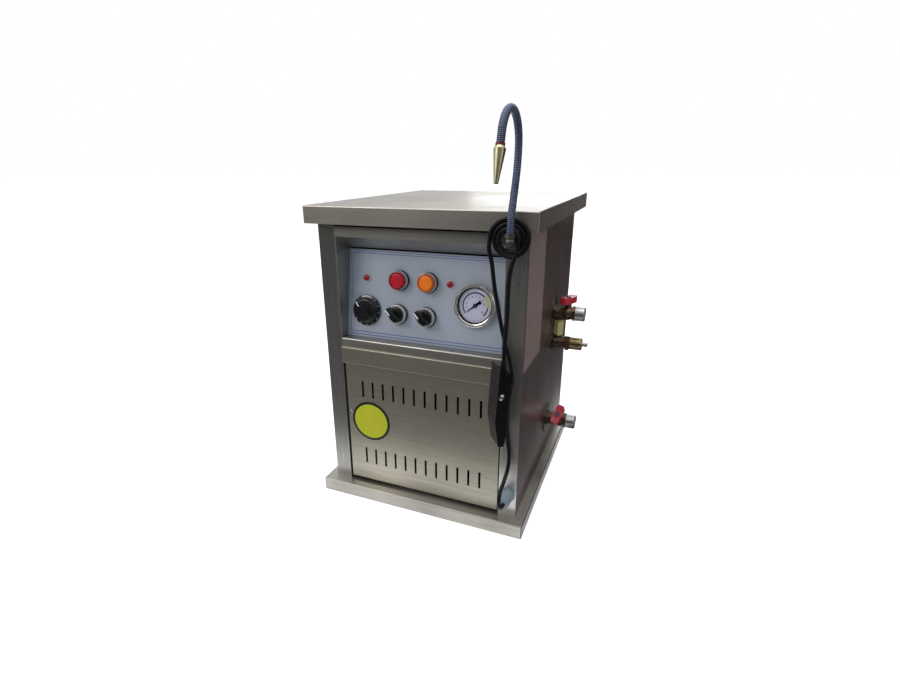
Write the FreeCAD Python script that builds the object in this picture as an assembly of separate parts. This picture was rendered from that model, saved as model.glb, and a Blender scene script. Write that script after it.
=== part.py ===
import FreeCAD, Part
import math
import os

# Jewelry steam cleaner: a sheet steel cabinet on a tray, with a leaning control panel in a recess, a ribbed
# gooseneck with a brass nozzle, a coiled lead with a foot pedal, and three valves on the right side.
# Millimetres. +X is the right side, -Y is the front, +Z is up. The origin is on the floor under the middle of
# the base tray. Heights are measured from the floor and depths from the cabinet's front plane.

V = FreeCAD.Vector
X = V(1, 0, 0)
Y = V(0, 1, 0)
Z = V(0, 0, 1)
forward = V(0, -1, 0)

# Cabinet
body_width = 340.0
body_depth = 390.0
sheet = 1.5
tray_height = 23.2
tray_side_overhang = 16.0
tray_front_overhang = 21.5
tray_lip = 18.0
tray_web = 60.0
tray_corner = 2.5
lid_lift = 4.4
lid_height = 27.6
lid_side_overhang = 16.0
lid_front_overhang = 15.6
lid_rear_overhang = 42.0
lid_corner = 2.5
edge_round = 2.0
post_width = 29.5
post_return = 14.0
rear_flange = 14.0
fit_gap = 0.3
overrun = 4.0

# Control panel recess
rail_height = 15.7
recess_height = 168.0
rail_flange = 12.0
sill_height = 296.3
sill_ledge = 17.4
sill_web_drop = 40.3
sill_bend = 3.0
soffit_depth = 41.8
soffit_drop = 22.5
panel_lean = 9.7
panel_height = 145.25
jamb_margin = 6.0

# Lower front
strip_drop = 44.3
strip_height = 28.5
strip_thickness = 3.2
strip_round = 1.2
cover_left_gap = 4.5
cover_right_gap = 1.9
cover_bottom = 29.0
cover_top_gap = 1.0
cover_fold = 14.0
slot_width = 3.8
slot_height = 30.2
slot_pitch_share = 0.0703
slot_count = 12
first_slot_share = 0.1133
lower_slots_rise = 33.6
upper_slots_drop = 59.2
cover_screw_radius = 2.6
cover_screw_head = 1.2
cover_screw_length = 9.0
cover_screw_inset = 5.5
cover_screw_rise = 17.7

# Plates without print
round_plate_radius = 36.3
round_plate_inset = 48.5
round_plate_rise = 5.4
plate_thickness = 0.6
side_plate_front = 6.0
side_plate_width = 111.0
side_plate_gap = 3.4
side_plate_height = 206.0

# Pressure gauge, on the leaning panel: climbs are measured up its slope from the ledge, and shares are of
# the distance from its middle to the post beside it
gauge_share = 0.6157
gauge_climb = 70.75
gauge_radius = 34.0
gauge_height = 10.5
gauge_flange = 2.0
gauge_window_radius = 27.5
gauge_case_radius = 31.0
gauge_case_depth = 30.0
gauge_wall = 1.2
dial_level = 2.6
dial_thickness = 0.8
glass_level = 7.4
glass_thickness = 1.6
needle_level = 4.6
needle_thickness = 0.6
needle_hub_radius = 3.2
needle_tip_length = 20.0
needle_tail_length = 11.0
needle_tail_width = 5.0
needle_tip_width = 2.6
needle_rest = 218.0
spindle_radius = 1.0

# Push buttons with lit caps
red_button_share = -0.3132
amber_button_share = 0.0427
button_climb = 99.15
flange_radius = 16.6
flange_height = 3.5
barrel_radius = 15.6
barrel_height = 10.0
barrel_wall = 1.1
cap_gap = 0.3
cap_height = 14.0
cap_floor = 5.0
cap_travel = 4.0
well_floor = 0.8
thread_radius = 11.0
thread_length = 34.0
plunger_radius = 6.0
plunger_length = 16.0
running_gap = 0.06

# Pilot lamps
left_pilot_share = -0.7438
right_pilot_share = 0.306
pilot_climb = 99.35
pilot_washer_radius = 7.2
pilot_washer_height = 1.4
pilot_lens_radius = 5.0
pilot_lens_height = 6.5
pilot_body_radius = 4.0
pilot_body_length = 20.0

# Selector switches
selector_climb = 44.25
selector_radius = 12.0
selector_height = 15.0
selector_lever_width = 9.0
selector_lever_reach = 14.5
selector_lever_tail = 13.0
selector_lever_height = 28.0
selector_rest = 135.0

# Thermostat and its knob
knob_share = -0.726
knob_climb = 45.75
knob_skirt_radius = 25.5
knob_skirt_height = 5.0
knob_radius = 20.0
knob_height = 20.0
knob_grip_width = 13.0
knob_grip_height = 7.0
knob_clear = 1.0
knob_rest = 130.0
thermostat_width = 38.0
thermostat_depth = 26.0
thermostat_spindle_radius = 3.0

# Gooseneck
neck_inset = 17.0
neck_forward = 36.0
elbow_drop = 10.4
nipple_radius = 4.5
elbow_radius = 6.4
elbow_collar_flats = 12.5
elbow_collar_height = 5.0
lock_nut_flats = 17.0
lock_nut_height = 6.0
hose_radius = 5.0
hose_root_radius = 4.5
hose_bore_radius = 3.2
rib_pitch = 2.2
rib_crest_shares = (0.2, 0.65, 0.85)
lower_ribs = 17
flex_ribs = 8
hose_foot_rise = 11.0
neck_foot_straight = 10.0
neck_first_radius = 50.0
neck_lean = 20.0
neck_lean_straight = 38.0
neck_second_radius = 130.0
arch_radius = 40.4
arch_turn = 163.0
neck_end_straight = 11.6
swivel_gap = 0.1
ferrule_radius = 5.6
ferrule_length = 3.4
nozzle_radius = 7.2
nozzle_tip_radius = 2.8
nozzle_length = 41.5
nozzle_shoulder = 3.0
nozzle_bore_radius = 1.2

# Foot pedal lead
lead_radius = 3.0
arc_share = 0.45
coil_inset = 21.5
coil_height = 475.5
coil_radius = 29.0
coil_pitch = 6.6
coil_layer_pitch = 6.8
coil_half_turns = 5
coil_first_gap = 0.4
gland_inset = 13.0
gland_height = 65.0
gland_length = 30.0
gland_flats = 21.0
gland_flange = 5.0
gland_radius = 10.5
gland_mouth_radius = 8.0
gland_thread_radius = 7.5
gland_thread_length = 9.0
mains_gland_inset = 60.0

# Foot pedal, hung upright and turned to show its side
pedal_inset = 26.1
pedal_forward = 38.0
pedal_pivot_height = 259.5
pedal_turn = 34.0
pedal_width = 38.0
treadle_wall = 2.0
pedal_gap = 0.4
base_wall = 2.2
pin_radius = 1.6
pin_boss_radius = 2.8
pin_head_radius = 4.6
pin_head_height = 1.8
foot_radius = 5.5
foot_reach = 5.0
foot_inset = 7.5
upper_foot = 11.0
lower_foot = -65.0
relief_radius = 4.2
relief_tip_radius = 3.5
relief_length = 13.0
relief_offset = 7.5
treadle_top = 41.0
treadle_bottom = -79.2
treadle_crown = -40.0
treadle_top_face = -4.3
treadle_crown_face = -8.8
treadle_toe_face = -2.8
treadle_toe_depth = 8.5
treadle_thickness = 3.0
pedal_base_top = 34.0
pedal_base_bottom = -76.5
pedal_heel = 12.0
pedal_shoulder = 14.2
pedal_toe = 8.0
pedal_base_shoulder = 27.0
pedal_brow = -0.8
pedal_tip = 5.2

# Valves on the right side
valve_y = 234.0
inlet_height = 311.0
relief_drop = 57.0
drain_y = 228.0
drain_height = 97.0
drain_lean = 45.0
valve_nut_flats = 27.0
valve_nut_height = 3.0
valve_washer_radius = 28.0
valve_washer_height = 1.4
valve_thread_radius = 8.0
valve_radius = 11.0
valve_ball_radius = 13.0
valve_ball_at = 24.5
valve_length = 38.0
valve_grip_flats = 24.0
valve_grip_length = 5.0
valve_bore_radius = 5.0
bonnet_radius = 6.2
bonnet_height = 17.0
stem_radius = 3.0
hub_height = 18.5
hub_radius = 7.0
handle_thickness = 11.5
handle_width = 15.0
handle_flat = 8.0
handle_wing = 11.0
handle_rise = 1.0
handle_nut_flats = 8.0
handle_nut_height = 1.8
outlet_radius = 13.0
outlet_length = 17.5
outlet_thread_radius = 9.3
outlet_thread_length = 12.0
inlet_handle_turn = 65.0
drain_handle_turn = 75.0

# Relief valve on its tee
tee_x = 10.8
tee_length = 32.0
tee_leg_radius = 6.0
tee_leg_height = 13.2
tee_washer_radius = 15.0
tee_flange_radius = 13.0
tee_flange_at = 12.0
tee_flange_height = 1.6
tee_plug_radius = 3.2
tee_plug_height = 3.0
tee_collar_flats = 22.0
tee_collar_length = 9.0
cap_body_radius = 11.5
cap_body_length = 22.5
cap_body_round = 3.0
relief_stem_radius = 3.9
relief_stem_reach = 10.0
relief_stem_inside = 18.0
bridge_flats = 16.0
bridge_head = 17.0
bridge_foot = 16.0
bridge_spigot_radius = 5.0

# Boiler and what is on it, inside the cabinet
boiler_radius = 90.0
boiler_wall = 2.0
boiler_bottom = 70.0
boiler_top = 350.0
boiler_y = 232.0
boiler_dome = 26.0
boiler_leg_radius = 6.0
boiler_leg_count = 3
boiler_leg_circle = 70.0
pipe_radius = 6.0
pipe_bore_radius = 4.0
heater_flange_radius = 30.0
heater_flange_height = 8.0
heater_height = 120.0
heater_rod_radius = 4.0
heater_reach = 110.0
heater_bend = 14.0
solenoid_width = 34.0
solenoid_height = 40.0
solenoid_foot = 8.0
steam_pipe_x = 60.0
steam_pipe_bend = 18.0

body_left = -body_width / 2
body_right = body_width / 2
front = -body_depth / 2
rear = body_depth / 2
post_inner = body_right - post_width
neck_x = body_right - neck_inset
coil_x = body_right - coil_inset
gland_x = body_right - gland_inset
mains_gland_x = body_left + mains_gland_inset
sill_web_bottom = sill_height - sill_web_drop
strip_bottom = sill_height - strip_drop
rail_bottom = sill_height + recess_height
rail_top = rail_bottom + rail_height
lid_bottom = rail_top + lid_lift
lid_top = lid_bottom + lid_height
lid_under = lid_top - sheet
cover_top = strip_bottom - cover_top_gap
side_plate_top = lid_bottom - side_plate_gap
lower_slots = cover_bottom + lower_slots_rise
upper_slots = cover_top - upper_slots_drop
between_slots = (lower_slots + slot_height + upper_slots) / 2
cover_screw_height = between_slots + cover_screw_rise
round_plate_height = between_slots + round_plate_rise
elbow_height = lid_bottom - elbow_drop
hose_foot_height = elbow_height + hose_foot_rise
relief_height = inlet_height - relief_drop
lean = math.radians(panel_lean)
red_button_x = post_inner * red_button_share
amber_button_x = post_inner * amber_button_share
gauge_at = (post_inner * gauge_share, gauge_climb)
knob_at = (post_inner * knob_share, knob_climb)
red_button_at = (red_button_x, button_climb)
amber_button_at = (amber_button_x, button_climb)
selector_places = ((red_button_x, selector_climb), (amber_button_x, selector_climb))
pilot_places = ((post_inner * left_pilot_share, pilot_climb), (post_inner * right_pilot_share, pilot_climb))
valve_places = ((valve_y, inlet_height), (valve_y, relief_height), (drain_y, drain_height))
washer_radii = (valve_washer_radius, tee_washer_radius, valve_washer_radius)
panel_normal = V(0, -math.cos(lean), math.sin(lean))
panel_up = V(0, math.sin(lean), math.cos(lean))


def box(x0, x1, y0, y1, z0, z1):
    return Part.makeBox(x1 - x0, y1 - y0, z1 - z0, V(x0, y0, z0))


def rod(start, direction, radius, length):
    return Part.makeCylinder(radius, length, start, direction)


def tube(start, direction, outer, inner, length):
    return rod(start, direction, outer, length).cut(rod(start, direction, inner, length))


def cone(start, direction, first, second, length):
    return Part.makeCone(first, second, length, start, direction)


def hexagon(start, direction, flats, length):
    """Hexagonal prism with one flat pair square to the X axis, or to Y where it runs along X."""
    corner = flats / math.sqrt(3)
    side = direction.cross(Y if direction == X else X)
    other = direction.cross(side)
    points = []
    for index in range(6):
        angle = math.radians(60 * index)
        points.append(start + side * (corner * math.cos(angle)) + other * (corner * math.sin(angle)))
    face = Part.Face(Part.makePolygon(points + points[:1]))
    return face.extrude(direction * length)


def slab(points, x0, x1):
    """Prism along X from an outline of (y, z) points."""
    corners = [V(x0, y, z) for y, z in points]
    return Part.Face(Part.makePolygon(corners + corners[:1])).extrude(X * (x1 - x0))


def fused(first, *others):
    return first.fuse(list(others)).removeSplitter()


def upright_edges(shape):
    return [edge for edge in shape.Edges if abs(edge.tangentAt(edge.FirstParameter).z) > 0.99]


def edges_at_height(shape, height):
    return [edge for edge in shape.Edges
            if abs(edge.BoundBox.ZMin - height) < fit_gap and abs(edge.BoundBox.ZMax - height) < fit_gap]


def front_edges(shape, height):
    """Edges at one height along the front of a shape."""
    front_line = shape.BoundBox.YMin + fit_gap
    return [edge for edge in edges_at_height(shape, height) if edge.BoundBox.YMax < front_line]


def placed(shape, origin, rotation):
    """Copy of a shape, turned about its own origin and carried to a point."""
    moved = shape.copy()
    moved.Placement = FreeCAD.Placement(origin, rotation).multiply(shape.Placement)
    return moved


def on_panel(shape, place):
    """Move a shape built on the XY plane to the leaning panel, its Z along the panel's outward normal."""
    x, climb = place
    origin = V(x, front + sill_ledge, sill_height) + panel_up * climb
    return placed(shape, origin, FreeCAD.Rotation(X, panel_up, panel_normal, "ZXY"))


# Cabinet sheets

def base_tray():
    """Folded tray, open underneath, resting on a lip turned inwards all round and a web across its middle."""
    half_width = body_right + tray_side_overhang
    half_depth = rear + tray_front_overhang
    tray = box(-half_width, half_width, -half_depth, half_depth, 0, tray_height)
    tray = tray.makeFillet(tray_corner, upright_edges(tray))
    tray = tray.makeFillet(edge_round, edges_at_height(tray, tray_height))
    hollow = box(-half_width + sheet, half_width - sheet, -half_depth + sheet, half_depth - sheet,
                 sheet, tray_height - sheet)
    hollow = hollow.makeFillet(tray_corner - sheet, upright_edges(hollow))
    inset = sheet + tray_lip
    for near, far in ((-half_depth + inset, -tray_web / 2), (tray_web / 2, half_depth - inset)):
        hollow = hollow.fuse(box(-half_width + inset, half_width - inset, near, far, -overrun, sheet))
    return tray.cut(hollow)


def side_panel(side):
    """One wall with the front post, its return into the cabinet and the rear flange folded from it."""
    wall = box(body_right - sheet, body_right, front, rear, tray_height, lid_under)
    post = box(post_inner, body_right, front, front + sheet, tray_height, lid_under)
    inward = box(post_inner, post_inner + sheet, front, front + post_return, tray_height, lid_under)
    flange = box(body_right - rear_flange, body_right, rear - sheet, rear, tray_height, lid_under)
    panel = fused(wall, post, inward, flange)
    if side < 0:
        return panel.mirror(V(0, 0, 0), X)
    start = body_right - sheet - overrun
    reach = sheet + 2 * overrun
    for depth, height in valve_places:
        panel = panel.cut(rod(V(start, front + depth, height), X, valve_thread_radius + fit_gap, reach))
    front_holes = ((gland_x, gland_height, gland_thread_radius), (neck_x, elbow_height, nipple_radius))
    for x, height, radius in front_holes:
        panel = panel.cut(rod(V(x, front + sheet + overrun, height), forward, radius + fit_gap, reach))
    return panel


def back_panel():
    """Flat rear sheet behind the side flanges, with the hole for the mains gland."""
    half = body_right - sheet - fit_gap
    panel = box(-half, half, rear - 2 * sheet, rear - sheet, tray_height, lid_under)
    hole = rod(V(mains_gland_x, rear + overrun, gland_height), forward,
               gland_thread_radius + fit_gap, 2 * sheet + 2 * overrun)
    return panel.cut(hole)


def panel_surround():
    """Top rail, sloping soffit and the two jambs, folded from one sheet round the control panel."""
    rail = box(-post_inner, post_inner, front, front + sheet, rail_bottom, rail_top)
    flange = box(-post_inner, post_inner, front, front + rail_flange, rail_top - sheet, rail_top)
    inner_low = rail_bottom - soffit_drop
    soffit = slab([(front, rail_bottom), (front + soffit_depth, inner_low),
                   (front + soffit_depth, inner_low + sheet), (front, rail_bottom + sheet)],
                  -post_inner, post_inner)
    foot = front + sill_ledge + jamb_margin
    outline = [(front, sill_height), (foot, sill_height), (front + soffit_depth + jamb_margin, inner_low),
               (front + soffit_depth, inner_low + sheet), (front, rail_bottom + sheet)]
    left = slab(outline, -post_inner, -post_inner + sheet)
    right = slab(outline, post_inner - sheet, post_inner)
    return fused(rail, flange, soffit, left, right)


def control_panel():
    """Leaning plate with a hole for each thing that it carries."""
    half = post_inner - sheet - fit_gap
    plate = Part.makeBox(2 * half, panel_height - fit_gap, sheet, V(-half, fit_gap, -sheet))
    holes = [(gauge_at, gauge_case_radius), (knob_at, thermostat_spindle_radius)]
    holes += [(place, thread_radius) for place in (red_button_at, amber_button_at) + selector_places]
    holes += [(place, pilot_body_radius) for place in pilot_places]
    for (x, climb), radius in holes:
        plate = plate.cut(rod(V(x, climb, -sheet - overrun), Z, radius + fit_gap, sheet + 2 * overrun))
    return on_panel(plate, (0, 0))


def sill_rail():
    """Ledge under the control panel and the rail face that it turns down into."""
    behind = front + sill_ledge + jamb_margin
    rail = box(-post_inner, post_inner, front, behind, sill_web_bottom, sill_height)
    rail = rail.makeFillet(sill_bend, front_edges(rail, sill_height))
    hollow = box(-post_inner, post_inner, front + sheet, behind + overrun, sill_web_bottom + sheet,
                 sill_height - sheet)
    hollow = hollow.makeFillet(sill_bend - sheet, front_edges(hollow, sill_height - sheet))
    below = box(-post_inner, post_inner, front + rail_flange, behind, sill_web_bottom, sill_height - sheet)
    return rail.cut(hollow).cut(below)


def cover_strip():
    """Flat strip, proud of the rail, with its long edges rounded."""
    half = post_inner - fit_gap
    top = strip_bottom + strip_height
    strip = box(-half, half, front - strip_thickness, front, strip_bottom, top)
    return strip.makeFillet(strip_round, front_edges(strip, top) + front_edges(strip, strip_bottom))


def vent_cover():
    """Slotted service cover with its four edges folded back into the cabinet."""
    left = -post_inner + cover_left_gap
    right = post_inner - cover_right_gap
    cover = box(left, right, front, front + cover_fold, cover_bottom, cover_top)
    cover = cover.cut(box(left + sheet, right - sheet, front + sheet, front + cover_fold + overrun,
                          cover_bottom + sheet, cover_top - sheet))
    for row in (lower_slots, upper_slots):
        for index in range(slot_count):
            middle = left + (right - left) * (first_slot_share + slot_pitch_share * index)
            cover = cover.cut(box(middle - slot_width / 2, middle + slot_width / 2,
                                  front - overrun, front + sheet + overrun, row, row + slot_height))
    for x in (left + cover_screw_inset, right - cover_screw_inset):
        cover = cover.cut(rod(V(x, front - overrun, cover_screw_height), Y,
                              cover_screw_radius / 2 + fit_gap, sheet + 2 * overrun))
    return cover


def cover_screws():
    """The two small screws that hold the vented cover at its side edges."""
    screws = []
    left = -post_inner + cover_left_gap + cover_screw_inset
    right = post_inner - cover_right_gap - cover_screw_inset
    for x in (left, right):
        head = cone(V(x, front, cover_screw_height), forward,
                    cover_screw_radius, cover_screw_radius / 2, cover_screw_head)
        shank = rod(V(x, front, cover_screw_height), Y, cover_screw_radius / 2, cover_screw_length)
        screws.append(fused(head, shank))
    return Part.makeCompound(screws)


def lid():
    """Box lid that overhangs the cabinet on every side, open underneath."""
    half = body_right + lid_side_overhang
    ahead = front - lid_front_overhang
    behind = rear + lid_rear_overhang
    top = box(-half, half, ahead, behind, lid_bottom, lid_top)
    top = top.makeFillet(lid_corner, upright_edges(top))
    top = top.makeFillet(edge_round, edges_at_height(top, lid_top))
    hollow = box(-half + sheet, half - sheet, ahead + sheet, behind - sheet, lid_bottom - overrun, lid_under)
    hollow = hollow.makeFillet(lid_corner - sheet, upright_edges(hollow))
    return top.cut(hollow)


def round_plate():
    """Plain round plate on the vented cover."""
    centre = V(round_plate_inset - post_inner, front, round_plate_height)
    return rod(centre, forward, round_plate_radius, plate_thickness)


def side_plate():
    """Plain upright plate on the right side."""
    start = front + side_plate_front
    return box(body_right, body_right + plate_thickness, start, start + side_plate_width,
               side_plate_top - side_plate_height, side_plate_top)


# Pressure gauge

def gauge_case():
    """Can behind the panel, closed at the rear, with the pressure port's stub and the needle's spindle."""
    can = rod(V(0, 0, -gauge_case_depth), Z, gauge_case_radius, gauge_case_depth + dial_level)
    can = can.cut(rod(V(0, 0, gauge_wall - gauge_case_depth), Z, gauge_case_radius - gauge_wall,
                      gauge_case_depth + dial_level))
    stub = rod(V(0, 0, -gauge_case_depth - gauge_height), Z, gauge_case_radius / 4, gauge_height)
    spindle = rod(V(0, 0, gauge_wall - gauge_case_depth), Z, spindle_radius,
                  gauge_case_depth - gauge_wall + needle_level + needle_thickness)
    return on_panel(fused(can, stub, spindle), gauge_at)


def gauge_bezel():
    """Chromed ring: a flat rim on the panel, a rolled outer edge and a slope down to the window."""
    lip = gauge_window_radius - gauge_wall
    seat = dial_level + dial_thickness
    corners = [V(gauge_case_radius, 0, 0), V(gauge_radius, 0, 0),
               V(gauge_radius, 0, gauge_height - gauge_flange), V(gauge_radius - gauge_flange, 0, gauge_height),
               V(gauge_radius - 2 * gauge_flange, 0, gauge_height),
               V(gauge_window_radius, 0, glass_level), V(lip, 0, glass_level), V(lip, 0, seat),
               V(gauge_case_radius, 0, seat)]
    face = Part.Face(Part.makePolygon(corners + corners[:1]))
    return on_panel(face.revolve(V(0, 0, 0), Z, 360), gauge_at)


def gauge_dial():
    """White dial disc, seated on the can's rim, with the spindle's hole."""
    dial = tube(V(0, 0, dial_level), Z, gauge_case_radius - gauge_wall / 2,
                spindle_radius + fit_gap, dial_thickness)
    return on_panel(dial, gauge_at)


def gauge_glass():
    """Flat window inside the bezel."""
    return on_panel(rod(V(0, 0, glass_level), Z, gauge_window_radius - fit_gap, glass_thickness), gauge_at)


def gauge_needle():
    """Thin tip, round hub and broad tail, turned to its resting mark."""
    half_tip = needle_tip_width / 2
    half_tail = needle_tail_width / 2
    outline = [V(needle_tip_length, 0, 0), V(0, half_tip, 0), V(-needle_tail_length, half_tail, 0),
               V(-needle_tail_length, -half_tail, 0), V(0, -half_tip, 0)]
    blade = Part.Face(Part.makePolygon(outline + outline[:1])).extrude(Z * needle_thickness)
    hub = rod(V(0, 0, 0), Z, needle_hub_radius, needle_thickness)
    needle = fused(blade, hub).cut(rod(V(0, 0, -overrun), Z, spindle_radius + running_gap, 2 * overrun))
    needle.rotate(V(0, 0, 0), Z, needle_rest)
    needle.translate(V(0, 0, needle_level))
    return on_panel(needle, gauge_at)


# Push buttons, pilot lamps, selectors and knob

def ring_mount():
    """Black flange, bright barrel and threaded neck shared by the push buttons and the selectors."""
    flange = rod(V(0, 0, 0), Z, flange_radius, flange_height)
    barrel = rod(V(0, 0, flange_height), Z, barrel_radius, barrel_height - flange_height)
    well = rod(V(0, 0, well_floor), Z, barrel_radius - barrel_wall, barrel_height)
    neck = rod(V(0, 0, -thread_length), Z, thread_radius, thread_length)
    bore_low = V(0, 0, -plunger_length - cap_travel - cap_gap)
    bore = rod(bore_low, Z, plunger_radius + running_gap, thread_length)
    return fused(flange, barrel, neck).cut(well).cut(bore)


def button_bezels():
    return Part.makeCompound([on_panel(ring_mount(), place) for place in (red_button_at, amber_button_at)])


def selector_rings():
    return Part.makeCompound([on_panel(ring_mount(), place) for place in selector_places])


def push_button(place):
    """Domed cap in the barrel's well, on a plunger that slides in the neck."""
    radius = barrel_radius - barrel_wall - cap_gap
    cap = rod(V(0, 0, cap_floor), Z, radius, cap_height - cap_floor)
    cap = cap.makeFillet(edge_round, edges_at_height(cap, cap_height))
    plunger = rod(V(0, 0, -plunger_length), Z, plunger_radius, plunger_length + cap_floor)
    return on_panel(fused(cap, plunger), place)


def pilot_lamps():
    """Two small lamps: a pale washer, a domed lens and the body through the panel."""
    lamps = []
    for place in pilot_places:
        washer = rod(V(0, 0, 0), Z, pilot_washer_radius, pilot_washer_height)
        lens = rod(V(0, 0, 0), Z, pilot_lens_radius, pilot_lens_height)
        lens = lens.makeFillet(edge_round, edges_at_height(lens, pilot_lens_height))
        body = rod(V(0, 0, -pilot_body_length), Z, pilot_body_radius, pilot_body_length)
        lamps.append(on_panel(fused(washer, lens, body), place))
    return Part.makeCompound(lamps)


def selector(place):
    """Round knob with a raised lever that points to its position, on a spindle in the neck."""
    low = well_floor + cap_gap
    skirt = rod(V(0, 0, low), Z, barrel_radius - barrel_wall - cap_gap, barrel_height - low)
    body = rod(V(0, 0, barrel_height), Z, selector_radius, selector_height - barrel_height)
    half = selector_lever_width / 2
    reach = selector_lever_reach
    outline = [V(reach, half / 3, 0), V(reach - half, half, 0), V(-selector_lever_tail, half, 0),
               V(-selector_lever_tail, -half, 0), V(reach - half, -half, 0), V(reach, -half / 3, 0)]
    lever_low = barrel_height + cap_gap
    rise = Z * (selector_lever_height - lever_low)
    lever = Part.Face(Part.makePolygon(outline + outline[:1])).extrude(rise)
    lever.translate(V(0, 0, lever_low))
    spindle = rod(V(0, 0, -plunger_length), Z, plunger_radius, plunger_length + low)
    knob = fused(skirt, body, lever, spindle)
    knob.rotate(V(0, 0, 0), Z, selector_rest)
    return on_panel(knob, place)


def main_knob():
    """Thermostat knob: a skirt, a tapered body and a grip bar across it, bored for the spindle."""
    skirt = rod(V(0, 0, knob_clear), Z, knob_skirt_radius, knob_skirt_height - knob_clear)
    body = cone(V(0, 0, knob_skirt_height), Z, knob_radius, knob_radius - edge_round,
                knob_height - knob_skirt_height - knob_grip_height)
    half = knob_grip_width / 2
    grip = Part.makeBox(2 * knob_radius, knob_grip_width, knob_height - knob_skirt_height,
                        V(-knob_radius, -half, knob_skirt_height))
    grip = grip.makeFillet(edge_round, edges_at_height(grip, knob_height))
    bore = rod(V(0, 0, 0), Z, thermostat_spindle_radius + running_gap, knob_height - 2 * knob_clear)
    knob = fused(skirt, body, grip).cut(bore)
    knob.rotate(V(0, 0, 0), Z, knob_rest)
    return on_panel(knob, knob_at)


def thermostat_body():
    """Thermostat behind the panel, with the spindle that carries the knob."""
    half = thermostat_width / 2
    case = Part.makeBox(2 * half, 2 * half, thermostat_depth, V(-half, -half, -sheet - thermostat_depth))
    spindle = rod(V(0, 0, -sheet), Z, thermostat_spindle_radius, sheet + knob_height - 3 * knob_clear)
    return on_panel(fused(case, spindle), knob_at)


# Gooseneck

neck_stretches = (
    (neck_foot_straight, 0.0),
    (neck_first_radius * math.radians(neck_lean), neck_lean),
    (neck_lean_straight, 0.0),
    (neck_second_radius * math.radians(neck_lean), -neck_lean),
    (arch_radius * math.radians(arch_turn), -arch_turn),
    (neck_end_straight, 0.0),
)
neck_length = sum(length for length, turn in neck_stretches)
rib_count = round(neck_length / rib_pitch)


def neck_station(distance):
    """Point and heading of the neck's centre line; the heading leans from upright towards +Y."""
    y = front - neck_forward
    z = hose_foot_height
    heading = 0.0
    left = distance
    for length, turn in neck_stretches:
        step = min(left, length)
        if turn:
            radius = length / math.radians(turn)
            after = heading + math.radians(turn) * step / length
            y += radius * (math.cos(heading) - math.cos(after))
            z += radius * (math.sin(after) - math.sin(heading))
            heading = after
        else:
            y += step * math.sin(heading)
            z += step * math.cos(heading)
        left -= step
        if left <= 0:
            break
    if left > 0:
        y += left * math.sin(heading)
        z += left * math.cos(heading)
    return V(neck_x, y, z), V(0, math.sin(heading), math.cos(heading))


def neck_circle(distance, radius):
    """Circle square to the neck, always starting on the +X side."""
    centre, along = neck_station(distance)
    edge = Part.makeCircle(radius)
    edge.Placement = FreeCAD.Placement(centre, FreeCAD.Rotation(X, along.cross(X), along, "ZXY"))
    return Part.Wire(edge)


def ribbed_hose(first_rib, last_rib):
    """Stretch of the gooseneck between two ribs, each rib a crest and a root, with the bore through it."""
    step = neck_length / rib_count
    rise, hold, fall = rib_crest_shares
    circles = []
    for rib in range(first_rib, last_rib):
        start = rib * step
        circles.append(neck_circle(start, hose_root_radius))
        circles.append(neck_circle(start + rise * step, hose_radius))
        circles.append(neck_circle(start + hold * step, hose_radius))
        circles.append(neck_circle(start + fall * step, hose_root_radius))
    circles.append(neck_circle(last_rib * step, hose_root_radius))
    bores = [neck_circle(rib * step, hose_bore_radius) for rib in range(first_rib, last_rib + 1)]
    outside = Part.makeLoft(circles, False, True)
    inside = Part.makeLoft(bores, False, True)
    rings = [Part.Face([circles[index], bores[index]]) for index in (0, -1)]
    solid = Part.Solid(Part.Shell(outside.Faces + inside.Faces + rings))
    if solid.Volume < 0:
        solid.reverse()
    return solid


def neck_elbow():
    """Silver elbow: a nipple through the post, the rounded corner and a six-sided collar under the hose."""
    corner = V(neck_x, front - neck_forward, elbow_height)
    reach = neck_forward + post_return
    nipple = rod(V(neck_x, front + post_return, elbow_height), forward, nipple_radius, reach)
    ball = Part.makeSphere(elbow_radius, corner)
    rise = hose_foot_height - swivel_gap - elbow_height
    leg = rod(corner, Z, elbow_radius - edge_round / 2, rise)
    collar = hexagon(corner + Z * (rise - elbow_collar_height), Z, elbow_collar_flats, elbow_collar_height)
    bore = rod(V(neck_x, front + post_return, elbow_height), forward, hose_bore_radius, reach)
    riser = rod(corner, Z, hose_bore_radius, rise)
    return fused(nipple, ball, leg, collar).cut(fused(bore, riser))


def neck_lock_nut():
    """Nut that holds the elbow's nipple to the post."""
    start = V(neck_x, front, elbow_height)
    nut = hexagon(start, forward, lock_nut_flats, lock_nut_height)
    return nut.cut(rod(start - forward * overrun, forward, nipple_radius, lock_nut_height + 2 * overrun))


def hose_ferrule():
    """Dark crimped ring between the hose and the nozzle."""
    end, along = neck_station(neck_length)
    return tube(end, along, ferrule_radius, hose_bore_radius, ferrule_length)


def steam_nozzle():
    """Brass nozzle: a short shoulder, then a long cone to a small round tip."""
    end, along = neck_station(neck_length)
    start = end + along * ferrule_length
    shoulder = cone(start, along, ferrule_radius, nozzle_radius, nozzle_shoulder)
    taper = cone(start + along * nozzle_shoulder, along, nozzle_radius, nozzle_tip_radius,
                 nozzle_length - nozzle_shoulder)
    bore = rod(start, along, nozzle_bore_radius, nozzle_length)
    chamber = rod(start, along, hose_bore_radius, nozzle_length / 2)
    return fused(shoulder, taper).cut(bore).cut(chamber)


# Foot pedal lead

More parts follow.
